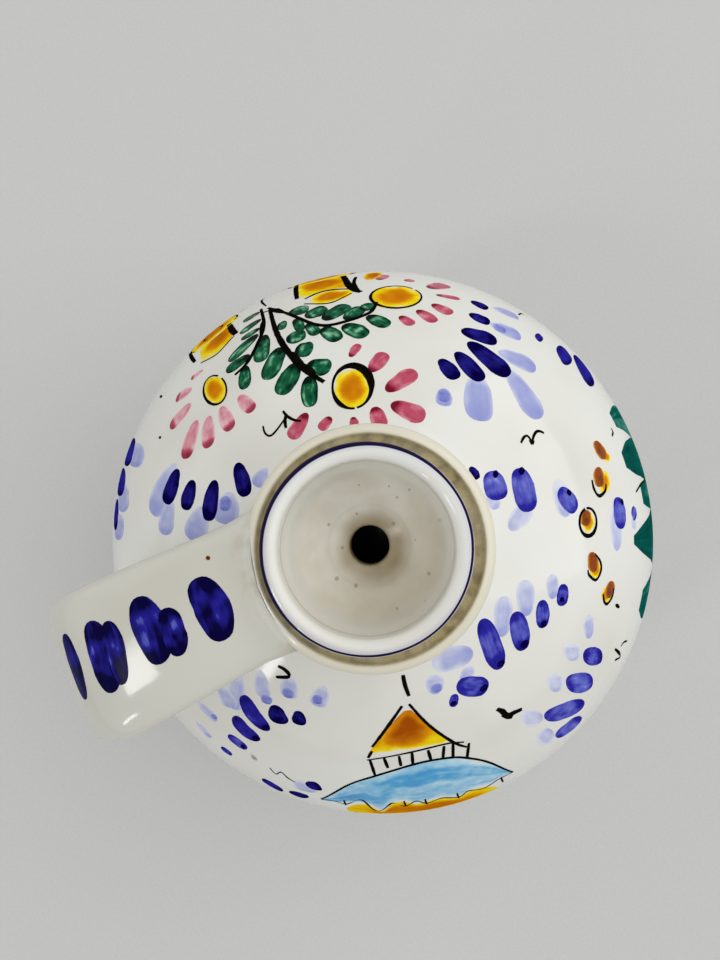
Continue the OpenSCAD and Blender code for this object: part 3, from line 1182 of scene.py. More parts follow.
@dataclass
class StrapHandle:
    """The strap from the collar over an arch and a bend down to the shoulder."""

    jug: JugFrame  # The jug's sizes
    lofter: StrapLofter  # The tree that lofts the strap
    glaze: Glaze  # The white glaze; the strap gets a darker copy of it, as painted shade
    width: float = 27.0  # Width of the strap in millimetres
    belly: float = 4.6  # Extra width of the strap at its bend
    # How far the strap's middle lies to the +Y side at the collar and at its bend
    sway: tuple[float, float] = (2.0, 0.6)
    thick: float = 10.0  # Thickness of the strap
    drop: float = 9.5  # Depth from the lip to the strap's middle at the collar
    slope: float = 20.0  # Slope at which the strap leaves the collar, in degrees
    bend_r: float = 16.0  # Radius of the outer bend
    lean: float = 5.0  # Inward lean of the lower run, in degrees
    bury: float = 2.4  # How deep the strap's lower end sits in the body
    root_bury: float = 2.3  # How deep its upper end sits in the collar
    root_flare: float = 1.05  # Spread of the strap at the collar
    root_lean: float = 0.12  # Outward lean of its section at the collar
    root_blend: float = 7.0  # Length over which it spreads there
    seat_flare: float = 3.6  # Spread of the strap at the shoulder
    seat_blend: float = 11.0  # Length over which it spreads there
    hollow: float = 2.2  # Power by which it spreads at both ends
    square: float = 0.56  # Squareness of its section; 1 is an ellipse
    sides: int = 48  # Points round the section
    soil: Rgb = (158, 138, 104)  # Colour of the dirt at the collar

    def near(self, gap: float, blend: float) -> float:
        """Gives 1 on a seat, falling to 0 at the length of its blend."""
        return max(0.0, 1 - max(gap, 0.0) / blend)

    def spread(self, gap: float, flare: float, blend: float) -> float:
        """Spread of the strap at a distance from its seat, a hollow round that ends on the seat."""
        return flare * self.near(gap, blend) ** self.hollow

    def stations(self) -> list[Station]:
        """Gives the strap's stations from inside the collar to inside the body.

        Returns:
            The stations.
        """
        jug = self.jug
        slope, lean = radians(self.slope), radians(self.lean)
        root_x, root_z = jug.collar_r - self.bury, jug.lip_z - self.drop
        bend_x = jug.reach - self.thick / 2 - self.bend_r
        arch_end = bend_x + self.bend_r * sin(slope)
        arch_r = (arch_end - root_x) / (2 * sin(slope))
        arch_x, arch_z = root_x + arch_r * sin(slope), root_z - arch_r * cos(slope)
        bend_z = root_z - self.bend_r * cos(slope)
        first = asin((arch_x - jug.collar_r + self.root_bury) / arch_r)
        result: list[Station] = []
        arch_steps, bend_steps, drop_steps = 28, 24, 26
        for i in range(arch_steps):
            a = first - (first + slope) * i / arch_steps
            out, z = arch_x - arch_r * sin(a), arch_z + arch_r * cos(a)
            gap = out - jug.collar_r
            spread = self.spread(gap, self.root_flare, self.root_blend)
            wrap = self.near(gap, self.root_blend)
            result.append(self.station(out, z, a, i / arch_steps, spread, wrap))
        sweep = pi / 2 + lean - slope
        for i in range(bend_steps):
            a = -slope - sweep * i / bend_steps
            out, z = bend_x - self.bend_r * sin(a), bend_z + self.bend_r * cos(a)
            result.append(self.station(out, z, a, 1.0))
        drop_x = bend_x + self.bend_r * cos(lean)
        drop_z = bend_z - self.bend_r * sin(lean) - jug.body_z
        fall = drop_x * sin(lean) + drop_z * cos(lean)
        seat = fall - sqrt(fall ** 2 - drop_x ** 2 - drop_z ** 2 + jug.body_r ** 2)
        for i in range(drop_steps + 1):
            along = (seat + self.bury) * i / drop_steps
            out = drop_x - along * sin(lean)
            z = jug.body_z + drop_z - along * cos(lean)
            gap = seat - along
            tilt = self.near(gap, 2 * self.seat_blend)
            spread = self.spread(gap, self.seat_flare, self.seat_blend)
            result.append(self.station(out, z, -pi / 2 - lean, 1.0, spread, 0.0, tilt))
        return result

    def station(self, out: float, z: float, slope: float, share: float, spread: float = 0.0,
                wrap: float = 0.0, tilt: float = 0.0) -> Station:
        """Makes one station.

        Args:
            out: Distance from the axis.
            z: Height.
            slope: Slope of the strap there, in radians.
            share: How far it lies on the way from the collar to the bend.
            spread: Spread at a seat.
            wrap: Share of the collar's round that the section follows.
            tilt: Share by which the section turns to lie along the globe.

        Returns:
            The station.
        """
        square_on = (-sin(slope), cos(slope))
        steep = atan2(z - self.jug.body_z, out)
        along_globe = (sin(steep), -cos(steep))
        mixed = square_on
        for turn, way in ((eased(tilt), along_globe), (eased(wrap), (self.root_lean, 1.0))):
            mixed = [a + (b - a) * turn for a, b in zip(mixed, way)]
        size = (self.thick / 2 + spread) / sum(a * b for a, b in zip(mixed, square_on))
        sway = self.sway[0] + (self.sway[1] - self.sway[0]) * share
        half = (self.width + self.belly * share) / 2 + spread
        return Station(out, sway, z, (mixed[0] * size, mixed[1] * size), half, wrap)

    def finish(self) -> Material:
        """Makes the strap's glaze, darker than the body's as painted shade, and soiled where the strap
        meets the collar.

        Returns:
            The material.
        """
        s = Shader("strap_glaze")
        x, y, _ = s.split(s.place)
        patches = s.smooth(s.noise(s.place, 210.0, 4.0), 0.46, 0.74)
        near = s.smooth(s.off_axis(x, y), (self.jug.collar_r + 3.5) * MM, (self.jug.collar_r - 0.5) * MM)
        dirt = s.times(near, patches, 0.4)
        colour = s.blend(dirt, self.glaze.coat(s), self.soil)
        return s.skin(colour, self.glaze.roughness(s, dirt), self.glaze.ripple)

    def build(self) -> Piece:
        """Lofts and dresses the strap.

        Returns:
            The strap.
        """
        stations = self.stations()
        rough = rough_mesh(
            "strap_spine",
            [[Vector((-st.out, st.sway, st.z)) * MM for st in stations]],
            rise=[Vector((-st.rise[0] * MM, 0.0, st.rise[1] * MM)) for st in stations],
            half=[st.half * MM for st in stations],
            wrap=[st.wrap for st in stations],
        )
        values = {"Sides": self.sides, "Square": self.square, "Collar Radius": self.jug.collar_r * MM}
        piece = self.lofter.form("strap_handle", rough, **values, Material=self.finish())
        return settle(piece, "white_glaze", "handle")


@dataclass
class Stroke:
    """One dab or line on the jug, in scene units."""

    points: list[Vector]  # The points that it goes through; a dab has one
    values: dict[str, list[Any]]  # What each point carries, by name
    layer: int = 0  # How many layers of the same pigment it lies over


Laid = dict[Pigment, list[Stroke]]


@dataclass(frozen=True)
class Manner:
    """How a group of dabs is laid."""

    pigment: Pigment  # The pigment
    tone: float  # How much pigment the brush holds, from 0 to 1
    egg: float = 0.0  # How much wider a dab is where it lifts than where it lands
    bow: float = 0.0  # Sideways bow of a dab, as a share of its half width
    layer: int = 0  # How many layers of the same pigment it lies over

    def dab(self, middle: Vector, heading: Vector, sideways: Vector, facing: Vector) -> Stroke:
        """Makes a dab in this manner.

        Args:
            middle: Its middle.
            heading: Half its length, as a vector.
            sideways: Half its width, as a vector.
            facing: The outward direction of the surface there.

        Returns:
            The dab.
        """
        values = {"heading": heading, "sideways": sideways, "facing": facing, "egg": self.egg,
                  "bow": self.bow, "tone": self.tone}
        return Stroke([middle], {label: [value] for label, value in values.items()}, self.layer)


@dataclass
class Brushwork:
    """The painted ornament: every dab and line by pigment, and the films that they become."""

    view: PhotoView  # The photo's camera, through which the places were read
    jug: JugFrame  # The jug's sizes
    glaze: Glaze  # The glaze that carries the pigments
    vessel: Piece  # The piece that carries the ornament of the globe
    strap: Piece  # The piece that carries the ornament of the handle
    depth: float = 0.3  # How deep a film's underside sits in the glaze, in millimetres
    layer_step: float = 0.012  # Height between two layers of the same pigment
    order_step: float = 0.0025  # Height between two touches that follow each other
    line_step: float = 0.7  # Length between the points of a line
    # Share of a dab's width that its rounded outline needs to look as wide as it was read
    fullness: float = 0.88
    # Where the fans stand round the belly, in degrees
    fan_turns: tuple[float, ...] = (30.0, 156.0, 204.0, 256.0, 303.0)
    sprig_turns: tuple[float, ...] = (54.0, 132.0, 180.0, 229.0, 282.0)  # Where the sprigs stand
    wash: Manner = Manner(Pigment.WASH, 0.5, 0.28)  # The plain pale blue touch
    leaf: Manner = Manner(Pigment.LEAF, 0.58, 0.12)  # The plain green leaf
    middle: Manner = Manner(Pigment.BLOSSOM, 0.24)  # The yellow middle of a flower
    dabs: Laid = field(default_factory=partial(defaultdict, list))  # The dabs of each pigment
    lines: Laid = field(default_factory=partial(defaultdict, list))  # Its lines
    fills: Laid = field(default_factory=partial(defaultdict, list))  # Its filled shapes

    def out(self, point: Vector) -> Vector:
        """Gives the globe's outward direction at a point."""
        return (point - Vector((0.0, 0.0, self.jug.body_z * MM))).normalized()

    def lay(self, start: Vector, end: Vector, sideways: Vector, manner: Manner) -> None:
        """Keeps one dab on the globe.

        Args:
            start: Where the brush lands.
            end: Where it lifts.
            sideways: Half its width, as a vector.
            manner: How it is laid.
        """
        middle = (start + end) / 2
        dab = manner.dab(middle, (end - start) / 2, sideways, self.out(middle))
        self.dabs[manner.pigment].append(dab)

    def touch(self, start: Vector, end: Vector, width: float, manner: Manner) -> None:
        """Lays one dab on the globe, of a width in millimetres."""
        across = self.out((start + end) / 2).cross((end - start) / 2).normalized()
        self.lay(start, end, across * (width / 2 * self.fullness * MM), manner)

    def group(self, manner: Manner, *rows: Row) -> None:
        """Lays a group of dabs that were read off the photo, with their widths in millimetres."""
        for x0, y0, x1, y1, width in rows:
            self.touch(self.view.on_globe((x0, y0)), self.view.on_globe((x1, y1)), width, manner)

    def ovals(self, manner: Manner, *rows: Row) -> None:
        """Lays round dabs by their look in the photo, which the globe's edge foreshortens.

        Args:
            manner: How they are laid.
            rows: Where each starts and ends, and half its width in pixels.
        """
        seen = self.view.on_globe
        for x0, y0, x1, y1, half in rows:
            length = hypot(x1 - x0, y1 - y0)
            dx, dy = -(y1 - y0) / length * half, (x1 - x0) / length * half
            x, y = (x0 + x1) / 2, (y0 + y1) / 2
            sideways = (seen((x - dx, y - dy)) - seen((x + dx, y + dy))) / 2
            self.lay(seen((x0, y0)), seen((x1, y1)), sideways, manner)

    def draw(self, laid: list[Stroke], points: list[Vector], halves: Sequence[float], tone: float) -> None:
        """Draws a line through points of the globe.

        Args:
            laid: The strokes that it joins.
            points: The points.
            halves: Half its width at each, in millimetres.
            tone: How much pigment the brush holds.
        """
        facing = [self.out(p) for p in points]
        ways = [b - a for a, b in zip(points[:1] + points[:-1], points[1:] + points[-1:])]
        sideways = [f.cross(w).normalized() * (h * MM) for f, w, h in zip(facing, ways, halves)]
        values = {"facing": facing, "sideways": sideways, "tone": [tone] * len(points)}
        laid.append(Stroke(points, values))

    def ink(self, *strokes: tuple[Any, ...]) -> None:
        """Draws ink lines through places read off the photo, thinner at their ends.

        Args:
            strokes: Each line's tone, its width in millimetres and the pixels that it goes through.
        """
        for tone, width, *pixels in strokes:
            swells = [sin(pi * (i + 0.5) / len(pixels)) for i in range(len(pixels))]
            halves = [width / 2 * (0.55 + 0.45 * swell) for swell in swells]
            points = [self.view.on_globe(pixel) for pixel in pixels]
            self.draw(self.lines[Pigment.INK], points, halves, tone)

    def band(self, pigment: Pigment, tones: tuple[float, float],
             *rows: tuple[float, float, float, float]) -> None:
        """Fills a shape between two edges read off the photo.

        Args:
            pigment: The pigment.
            tones: How much pigment lies at the first and at the last row; it changes late.
            rows: Pairs of pixels, one on each edge, along the shape.
        """
        pairs = [(self.view.on_globe((x0, y0)), self.view.on_globe((x1, y1))) for x0, y0, x1, y1 in rows]
        points = [(a + b) / 2 for a, b in pairs]
        shares = [i / (len(rows) - 1) for i in range(len(rows))]
        first, last = tones
        values = {
            "facing": [self.out(p) for p in points],
            "sideways": [(b - a) / 2 for a, b in pairs],
            "tone": [first + (last - first) * share ** 2 for share in shares],
        }
        self.fills[pigment].append(Stroke(points, values))

    def blade(self, tone: float, tip: Pixel, drift: float, *rows: tuple[float, float]) -> None:
        """Fills a leaf blade that runs down the globe from a tip, past the photo's outline, to its root.

        Args:
            tone: How much pigment the brush holds.
            tip: Where it starts, as a pixel.
            drift: How far round the globe its root lies from its tip, in millimetres.
            rows: Distances down the globe, each with the half width there, in millimetres.
        """
        top = self.view.on_globe(tip)
        points = [self.lower(top, down, drift * (down / rows[-1][0]) ** 2) for down, _ in rows]
        self.draw(self.fills[Pigment.PINE], points, [half for _, half in rows], tone)

    def ring(self, centre: Pixel, radii: Pixel, thin: float, thick: float, start: float,
             sweep: float) -> None:
        """Draws an ink outline round a flower's middle, thickest half way round.

        Args:
            centre: The middle, as a pixel.
            radii: Half its width and height in pixels.
            thin: The line's width at its ends in millimetres.
            thick: Its width half way.
            start: Where the brush lands, in degrees from the picture's right towards its top.
            sweep: How far round it goes.
        """
        shares = [i / RING_STEPS for i in range(RING_STEPS + 1)]
        angles = [radians(start + sweep * share) for share in shares]
        halves = [(thin + (thick - thin) * sin(pi * share) ** 3) / 2 for share in shares]
        (x, y), (wide, high) = centre, radii
        points = [self.view.on_globe((x + wide * cos(a), y - high * sin(a))) for a in angles]
        self.draw(self.lines[Pigment.INK], points, halves, 0.9)

    def blue_sprays(self) -> None:
        """Lays the blue foliage: pale washes, then plain and dark dabs over them."""
        faint = Manner(Pigment.WASH, 0.34, -0.12)
        tinted = Manner(Pigment.WASH, 0.85, layer=1)
        full = Manner(Pigment.WASH, 0.57, 0.28)
        mild = Manner(Pigment.WASH, 0.42, 0.28)
        soft = Manner(Pigment.WASH, 0.45, -0.12)
        plain = Manner(Pigment.COBALT, 0.46, 0.05)
        light = Manner(Pigment.COBALT, 0.34, 0.05)
        dark = Manner(Pigment.COBALT, 0.84, 0.2)
        edge = Manner(Pigment.COBALT, 0.66, 0.05, layer=5)
        self.group(full, (493, 308, 518, 317, 6.4), (490, 324, 521, 337, 7.2), (498, 352, 536, 368, 7.0),
                   (506, 368, 539, 419, 7.8), (477, 374, 479, 421, 8.8), (444, 388, 444, 406, 4.7))
        self.group(tinted, (493, 326, 506, 331, 4.6), (444, 389, 444, 402, 3.8))
        self.group(dark, (471, 301, 488, 309, 5.6), (469, 314, 490, 323, 5.6), (461, 331, 497, 341, 6.5),
                   (468, 342, 509, 376, 7.5), (456, 352, 482, 381, 6.2), (440, 359, 457, 379, 5.2))
        self.ovals(edge, (536, 334, 542, 341, 3.0), (558, 346, 570, 364, 5.0), (574, 355, 593, 386, 4.0))
        self.group(faint, (488, 490, 497, 509, 4.5), (531, 502, 510, 530, 5.5), (558, 479, 566, 517, 6.4),
                   (614, 503, 617, 551, 7.2), (634, 516, 634, 529, 4.4))
        self.group(dark, (470, 467, 478, 479, 2.6))
        self.group(light, (491, 471, 499, 500, 6.9), (519, 468, 528, 512, 7.6), (559, 489, 576, 511, 6.1),
                   (618, 497, 621, 529, 7.6), (632, 508, 636, 518, 4.6))
        self.group(soft, (434, 675, 436, 694, 4.8), (432, 664, 473, 652, 7.1), (504, 596, 502, 637, 5.5),
                   (524, 580, 527, 616, 5.8), (552, 574, 553, 599, 4.2), (471, 666, 463, 682, 3.7),
                   (588, 615, 590, 638, 4.4))
        self.ovals(faint, (572, 643, 573, 661, 9.0), (555, 673, 556, 692, 8.5), (520, 719, 543, 717, 8.5),
                   (540, 745, 552, 730, 7.5))
        self.group(plain, (482, 619, 500, 669, 5.9), (515, 612, 524, 650, 5.9), (542, 600, 543, 628, 4.6),
                   (563, 584, 562, 606, 4.3), (457, 684, 488, 688, 6.6), (455, 694, 453, 707, 2.7))
        self.ovals(plain, (583, 657, 602.5, 656, 9.3))
        self.ovals(light, (566, 684, 593, 681, 10.0), (544.5, 718, 584.5, 702, 7.6),
                   (556, 737, 581.5, 717, 4.6))
        self.group(self.wash, (176, 464, 152, 514, 9.6), (170, 496, 165, 535, 7.6),
                   (204, 507, 192, 541, 8.8), (230, 492, 224, 524, 8.6), (267, 468, 255, 486, 4.2))
        self.group(tinted, (226, 496, 225, 511, 4.1), (435, 684, 438, 692, 3.2), (212, 714, 216, 719, 3.0))
        self.ovals(Manner(Pigment.WASH, 0.6, layer=3), (138, 443, 134, 467, 6.5), (124, 484, 122, 512, 5.0),
                   (119, 514, 118, 540, 4.2))
        self.ovals(edge, (134, 438, 126, 466, 2.8), (123.5, 468, 119.5, 496, 2.4),
                   (117.5, 499, 115.5, 530, 1.9), (262, 779, 283, 791, 2.0))
        self.group(dark, (178, 469, 166, 504, 6.4), (193, 480, 185, 510, 5.7), (215, 480, 208, 521, 5.6),
                   (237, 463, 247, 496, 4.9))
        self.group(mild, (241, 672, 233, 709, 5.8), (220, 684, 232, 708, 6.2), (260, 670, 264, 698, 4.6),
                   (291, 676, 288, 698, 5.2), (325, 686, 316, 706, 4.8), (197, 701, 217, 721, 5.0),
                   (195, 720, 211, 738, 5.0), (299, 780, 308, 792, 7.0))
        self.group(tinted, (266, 695, 267, 704, 3.6), (288, 688, 288, 698, 3.3), (318, 695, 317, 704, 2.9))
        self.group(dark, (275, 705, 280, 724, 5.8), (299, 711, 299, 725, 4.1), (306, 785, 321, 787, 6.6),
                   (290, 791, 307, 798, 8.0))
        curved = Manner(Pigment.COBALT, 0.6, 0.0, -0.35)
        self.group(plain, (228, 735, 247, 749, 5.0), (221, 747, 232, 755, 4.6))
        self.group(curved, (243, 695, 268, 731, 6.2), (234, 716, 259, 741, 6.6))
        deep = Manner(Pigment.COBALT, 1.0, layer=1)
        self.group(deep, (500, 661, 502, 666, 2.5), (523, 641, 526, 647, 2.6), (543, 621, 544, 627, 2.1),
                   (562, 597, 562, 602, 1.7), (482, 686, 486, 690, 2.6), (453, 701, 454, 705, 1.8),
                   (264, 725, 268, 729, 2.8), (253, 736, 258, 740, 2.8), (241, 745, 245, 748, 2.4),
                   (278, 717, 281, 721, 2.8), (493, 473, 498, 475, 2.2), (519, 469, 524, 473, 2.3),
                   (567, 490, 571, 495, 1.7), (621, 499, 623, 505, 2.0))

    def daisies(self) -> None:
        """Lays the three daisies: rose petals round a yellow middle with an ink outline."""
        petal = Manner(Pigment.ROSE, 0.56, 0.22)
        pale = Manner(Pigment.ROSE, 0.32, -0.2)
        self.group(petal, (350, 357, 359, 344, 2.9), (370, 372, 386, 353, 4.6), (386, 391, 416, 371, 5.0),
                   (391, 404, 425, 418, 5.5), (374, 407, 382, 428, 4.6), (353, 417, 355, 428, 2.5),
                   (331, 417, 320, 430, 3.2), (307, 413, 291, 439, 4.4))
        self.group(pale, (191, 379, 203, 370, 2.6), (176, 399, 192, 389, 4.4), (170, 428, 191, 404, 5.2),
                   (185, 459, 197, 420, 5.8), (208, 448, 209, 416, 5.0), (231, 430, 221, 407, 4.5),
                   (253, 411, 239, 396, 4.2))
        self.group(petal, (400, 316, 413, 325, 3.7), (417, 310, 436, 322, 4.6), (432, 304, 452, 314, 5.0),
                   (436, 295, 460, 299, 3.0), (428, 288, 447, 285, 5.6), (405, 281, 413, 280, 3.6),
                   (379, 280, 385, 275, 4.4))
        self.ovals(self.middle, (352, 370, 352, 408, 17.5), (215, 403, 215, 377, 10.5),
                   (370, 297, 420, 297, 10.5))
        self.ring((352, 387), (19.5, 21.5), 0.6, 2.4, -75.0, 260.0)
        self.ring((352, 387), (19.5, 21.5), 0.6, 1.3, 180.0, 98.0)
        self.ring((215, 390), (11.5, 14.5), 0.5, 0.8, 75.0, 340.0)
        self.ring((396, 297), (25.5, 11), 0.5, 1.0, 50.0, 350.0)

    def leaf_sprays(self) -> None:
        """Lays the green sprays: oval leaves on both sides of three ink stems."""
        self.group(self.leaf, (277, 327, 287, 324, 5.1), (286, 340, 306, 334, 6.1),
                   (295, 350, 313, 349, 6.4), (306, 366, 331, 368, 6.3), (309, 376, 310, 407, 5.2),
                   (297, 363, 280, 395, 6.6), (281, 347, 267, 380, 6.6), (264, 335, 261, 362, 5.6),
                   (245, 366, 245, 389, 4.3))
        self.group(self.leaf, (288, 314, 309, 308, 6.1), (305, 317, 327, 308, 6.5),
                   (323, 320, 349, 305, 6.4), (345, 320, 363, 307, 5.4), (361, 310, 374, 304, 4.4),
                   (295, 319, 302, 331, 3.4), (308, 323, 317, 335, 3.9), (322, 328, 340, 340, 5.4),
                   (343, 325, 367, 336, 5.9), (367, 316, 389, 326, 5.2))
        self.group(self.leaf, (260, 312, 243, 322, 4.0), (261, 319, 240, 334, 4.0),
                   (260, 328, 241, 340, 3.2), (258, 334, 229, 362, 4.8), (250, 355, 226, 372, 4.6))
        self.ink(
            (0.9, 1.7, (270, 309), (276, 331), (286, 349), (302, 368), (324, 382)),
            (0.9, 1.3, (268, 308), (296, 317), (318, 325), (340, 323), (369, 313), (377, 302)),
            (0.9, 1.3, (261, 309), (264, 325), (257, 345), (247, 363), (235, 375)),
            (0.9, 0.8, (262, 313), (276, 309), (284, 312)),
        )
        self.ovals(Manner(Pigment.INK, 0.8), (270, 310, 284, 312, 2.2), (264, 320, 261, 336, 2.6),
                   (292, 352, 306, 370, 3.0), (300, 364, 316, 374, 3.2))

    def blossoms(self) -> None:
        """Lays the large yellow blossoms that run over the outline."""
        self.band(Pigment.BLOSSOM, (0.22, 0.5), (297, 285, 298, 297), (303, 283, 304, 297),
                  (312, 281, 313, 295), (326, 279, 327, 290), (340, 277, 341, 288), (346, 276, 347, 287))
        self.ovals(Manner(Pigment.BLOSSOM, 0.26, -0.1), (311, 301, 352, 292, 5.4))
        self.ovals(Manner(Pigment.BLOSSOM, 0.4), (364, 277, 382, 274, 3.0))
        self.band(Pigment.BLOSSOM, (0.27, 0.46), (200, 352, 202, 361), (206, 343, 211, 357),
                  (214, 333, 222, 348), (222, 325, 231, 338), (226, 321, 234, 333))
        base = self.view.on_globe((266, 306))
        root = self.lower(base, 58.0)
        self.bulb((299, 284), (344, 277), root)
        self.bulb((202, 350), (227, 322), root)
        self.stem(0.8, *(self.lower(base, down, 0.9 * sin(down / 7)) for down in range(0, 60, 8)))
        for down in (27, 37, 47):
            self.leaf_pair(base, down, 10.0, 5.6)
        self.ink(
            (0.9, 1.6, (297, 284), (296, 290), (297, 299)),
            (0.9, 1.0, (305, 299), (318, 293), (331, 290), (349, 289)),
            (0.8, 0.6, (304, 304), (330, 303), (352, 293)),
            (0.9, 2.4, (343, 276), (348, 284), (355, 290), (361, 292)),
            (0.9, 1.2, (356, 277), (354, 283), (358, 290)),
            (0.9, 2.2, (229, 324), (232, 330), (236, 334)),
            (0.9, 1.4, (190, 353), (192, 358), (195, 362)),
            (0.8, 0.6, (201, 363), (217, 354), (234, 336)),
        )

    def stem(self, width: float, *points: Vector) -> None:
        """Draws an ink stem through points of the globe, thinner at its ends.

        Args:
            width: Its usual width in millimetres.
            points: The points.
        """
        last = len(points) - 1
        halves = [width * (0.35 + 0.25 * sin(pi * i / last)) for i in range(last + 1)]
        self.draw(self.lines[Pigment.INK], list(points), halves, 0.9)

    def leaf_pair(self, top: Vector, down: float, reach: float, width: float) -> None:
        """Lays a leaf on each side of a stem.

        Args:
            top: The stem's upper end.
            down: How far down the stem they sit, in millimetres.
            reach: How far sideways they go.
            width: Their width.
        """
        for side in (-1, 1):
            end = self.lower(top, down - 0.55 * reach, reach * side)
            self.touch(self.lower(top, down, side), end, width, self.leaf)

    def bulb(self, left: Pixel, right: Pixel, root: Vector) -> None:
        """Rounds off a blossom below the photo's outline, with an ink edge and a stem.

        Args:
            left: One end of the blossom on the outline, as a pixel.
            right: The other end.
            root: Where its stem ends.
        """
        a, b = self.view.on_globe(left), self.view.on_globe(right)
        middle, half = (a + b) / 2, (a - b).length / (2 * MM)
        radius = 1.16 * half
        depth = sqrt(radius ** 2 - half ** 2)
        low = self.lower(middle, depth + radius)
        width = 2 * radius / self.fullness
        self.touch(self.lower(middle, depth - radius), low, width, Manner(Pigment.BLOSSOM, 0.25, layer=3))
        first = asin(half / radius)
        angles = [first + (tau - 2 * first) * i / RING_STEPS for i in range(RING_STEPS + 1)]
        rim = [(depth - radius * cos(a), radius * sin(a)) for a in angles]
        self.stem(1.0, *(self.lower(middle, down, drift) for down, drift in rim))
        for side in (-1, 1):
            veins = ((1.0, 2.5), (depth, 0.4 * radius), (depth + 0.85 * radius, 1))
            self.stem(0.7, *(self.lower(middle, down, drift * side) for down, drift in veins))
        across = Vector((0.0, 0.0, 1.0)).cross(self.out(root))
        bow = copysign(5.0, (low - root).dot(across))
        bends = [(low.lerp(root, i / 8), bow * sin(pi * i / 8)) for i in range(9)]
        self.stem(0.9, *(self.lower(point, 0.0, drift) for point, drift in bends))

    def grass(self, *places: Vector) -> None:
        """Lays a tuft of three small leaves at each of a row of places.

        Args:
            places: The places.
        """
        blade = Manner(Pigment.LEAF, 0.62, -0.2)
        for place in places:
            for lean in (-3.0, 0.0, 3.0):
                self.touch(place, self.lower(place, abs(lean) - 7.0, lean), 2.6, blade)

    def acorns(self) -> None:
        """Lays the row of brown and yellow buds with their ink outlines."""
        self.ovals(Manner(Pigment.BLOSSOM, 0.17), (603, 451, 609, 462, 4.0), (604, 471, 605, 493, 5.5),
                   (588, 512, 589, 533, 6.0), (595, 560, 596, 578, 5.5), (607, 588, 605, 602, 5.0))
        self.ovals(Manner(Pigment.BROWN, 0.72, 0.1), (595, 441, 605, 459, 4.8), (598, 467, 600, 487, 5.4),
                   (586, 510, 586, 526, 5.4), (592, 552, 594, 572, 5.4), (612, 581, 608, 598, 4.4))
        self.ink((0.6, 1.0, (592, 480), (594, 489), (599, 496), (605, 491), (606, 484)))
        self.ring((588, 522), (8.5, 14), 0.7, 1.1, 110.0, 350.0)
        self.ink(
            (0.6, 0.9, (588, 570), (589, 575), (596, 580), (601, 570), (600, 561), (595, 554)),
            (0.6, 0.9, (603, 594), (604, 601), (607, 604), (612, 597), (614, 588)),
        )
        self.ovals(Manner(Pigment.INK, 0.8), (616, 604, 619, 608, 1.8))

    def pines(self) -> None:
        """Lays the clump of dark blades at the picture's right, which runs down the belly to its root."""
        self.blade(0.42, (613, 420), -26.0, (0, 2.2), (8, 4.2), (18, 5.6), (28, 5.8), (40, 4.4), (52, 2.8),
                   (58, 1.6))
        self.blade(0.66, (624, 460), -12.0, (0, 2.2), (7, 4.8), (16, 6.2), (26, 7.0), (40, 6.0), (54, 3.6),
                   (64, 1.8))
        self.blade(0.46, (642, 495), -2.0, (0, 2.6), (8, 4.2), (17, 4.6), (27, 4.4), (40, 3.4), (56, 1.6))
        self.blade(0.66, (634, 540), 5.0, (0, 1.2), (8, 4.0), (18, 6.4), (28, 8.4), (42, 7.2), (58, 4.2),
                   (68, 1.8))
        self.blade(0.5, (641, 600), 24.0, (0, 3.0), (8, 6.0), (16, 7.0), (27, 6.4), (40, 4.6), (50, 2.8),
                   (58, 1.6))
        root = self.lower(self.view.on_globe((642, 505)), 60.0)
        ground = [self.lower(root, down, across) for down, across in ((0, -24), (2, -8), (1, 6), (3, 22))]
        self.draw(self.lines[Pigment.BROWN], ground, (0.6, 1.7, 1.6, 0.6), 0.6)
        self.grass(*ground, self.lower(root, 2, -16), self.lower(root, 2, 14))
        self.ink(
            (0.5, 0.7, (645, 479), (641, 484), (636, 492)),
            (0.6, 0.8, (611, 428), (613, 432), (612, 436)),
        )

    def lower(self, point: Vector, length: float, drift: float = 0.0) -> Vector:
        """Gives the point that lies further down the globe.

        Args:
            point: A point of the globe.
            length: How far down, in millimetres along the surface.
            drift: How far round, in millimetres.

        Returns:
            The lower point.
        """
        out = self.out(point)
        polar = degrees(acos(out.z)) + degrees(length / self.jug.body_r)
        turn = degrees(atan2(out.y, out.x))
        turn += degrees(drift / (self.jug.body_r * sin(radians(polar))))
        return self.jug.globe_point(turn, polar)

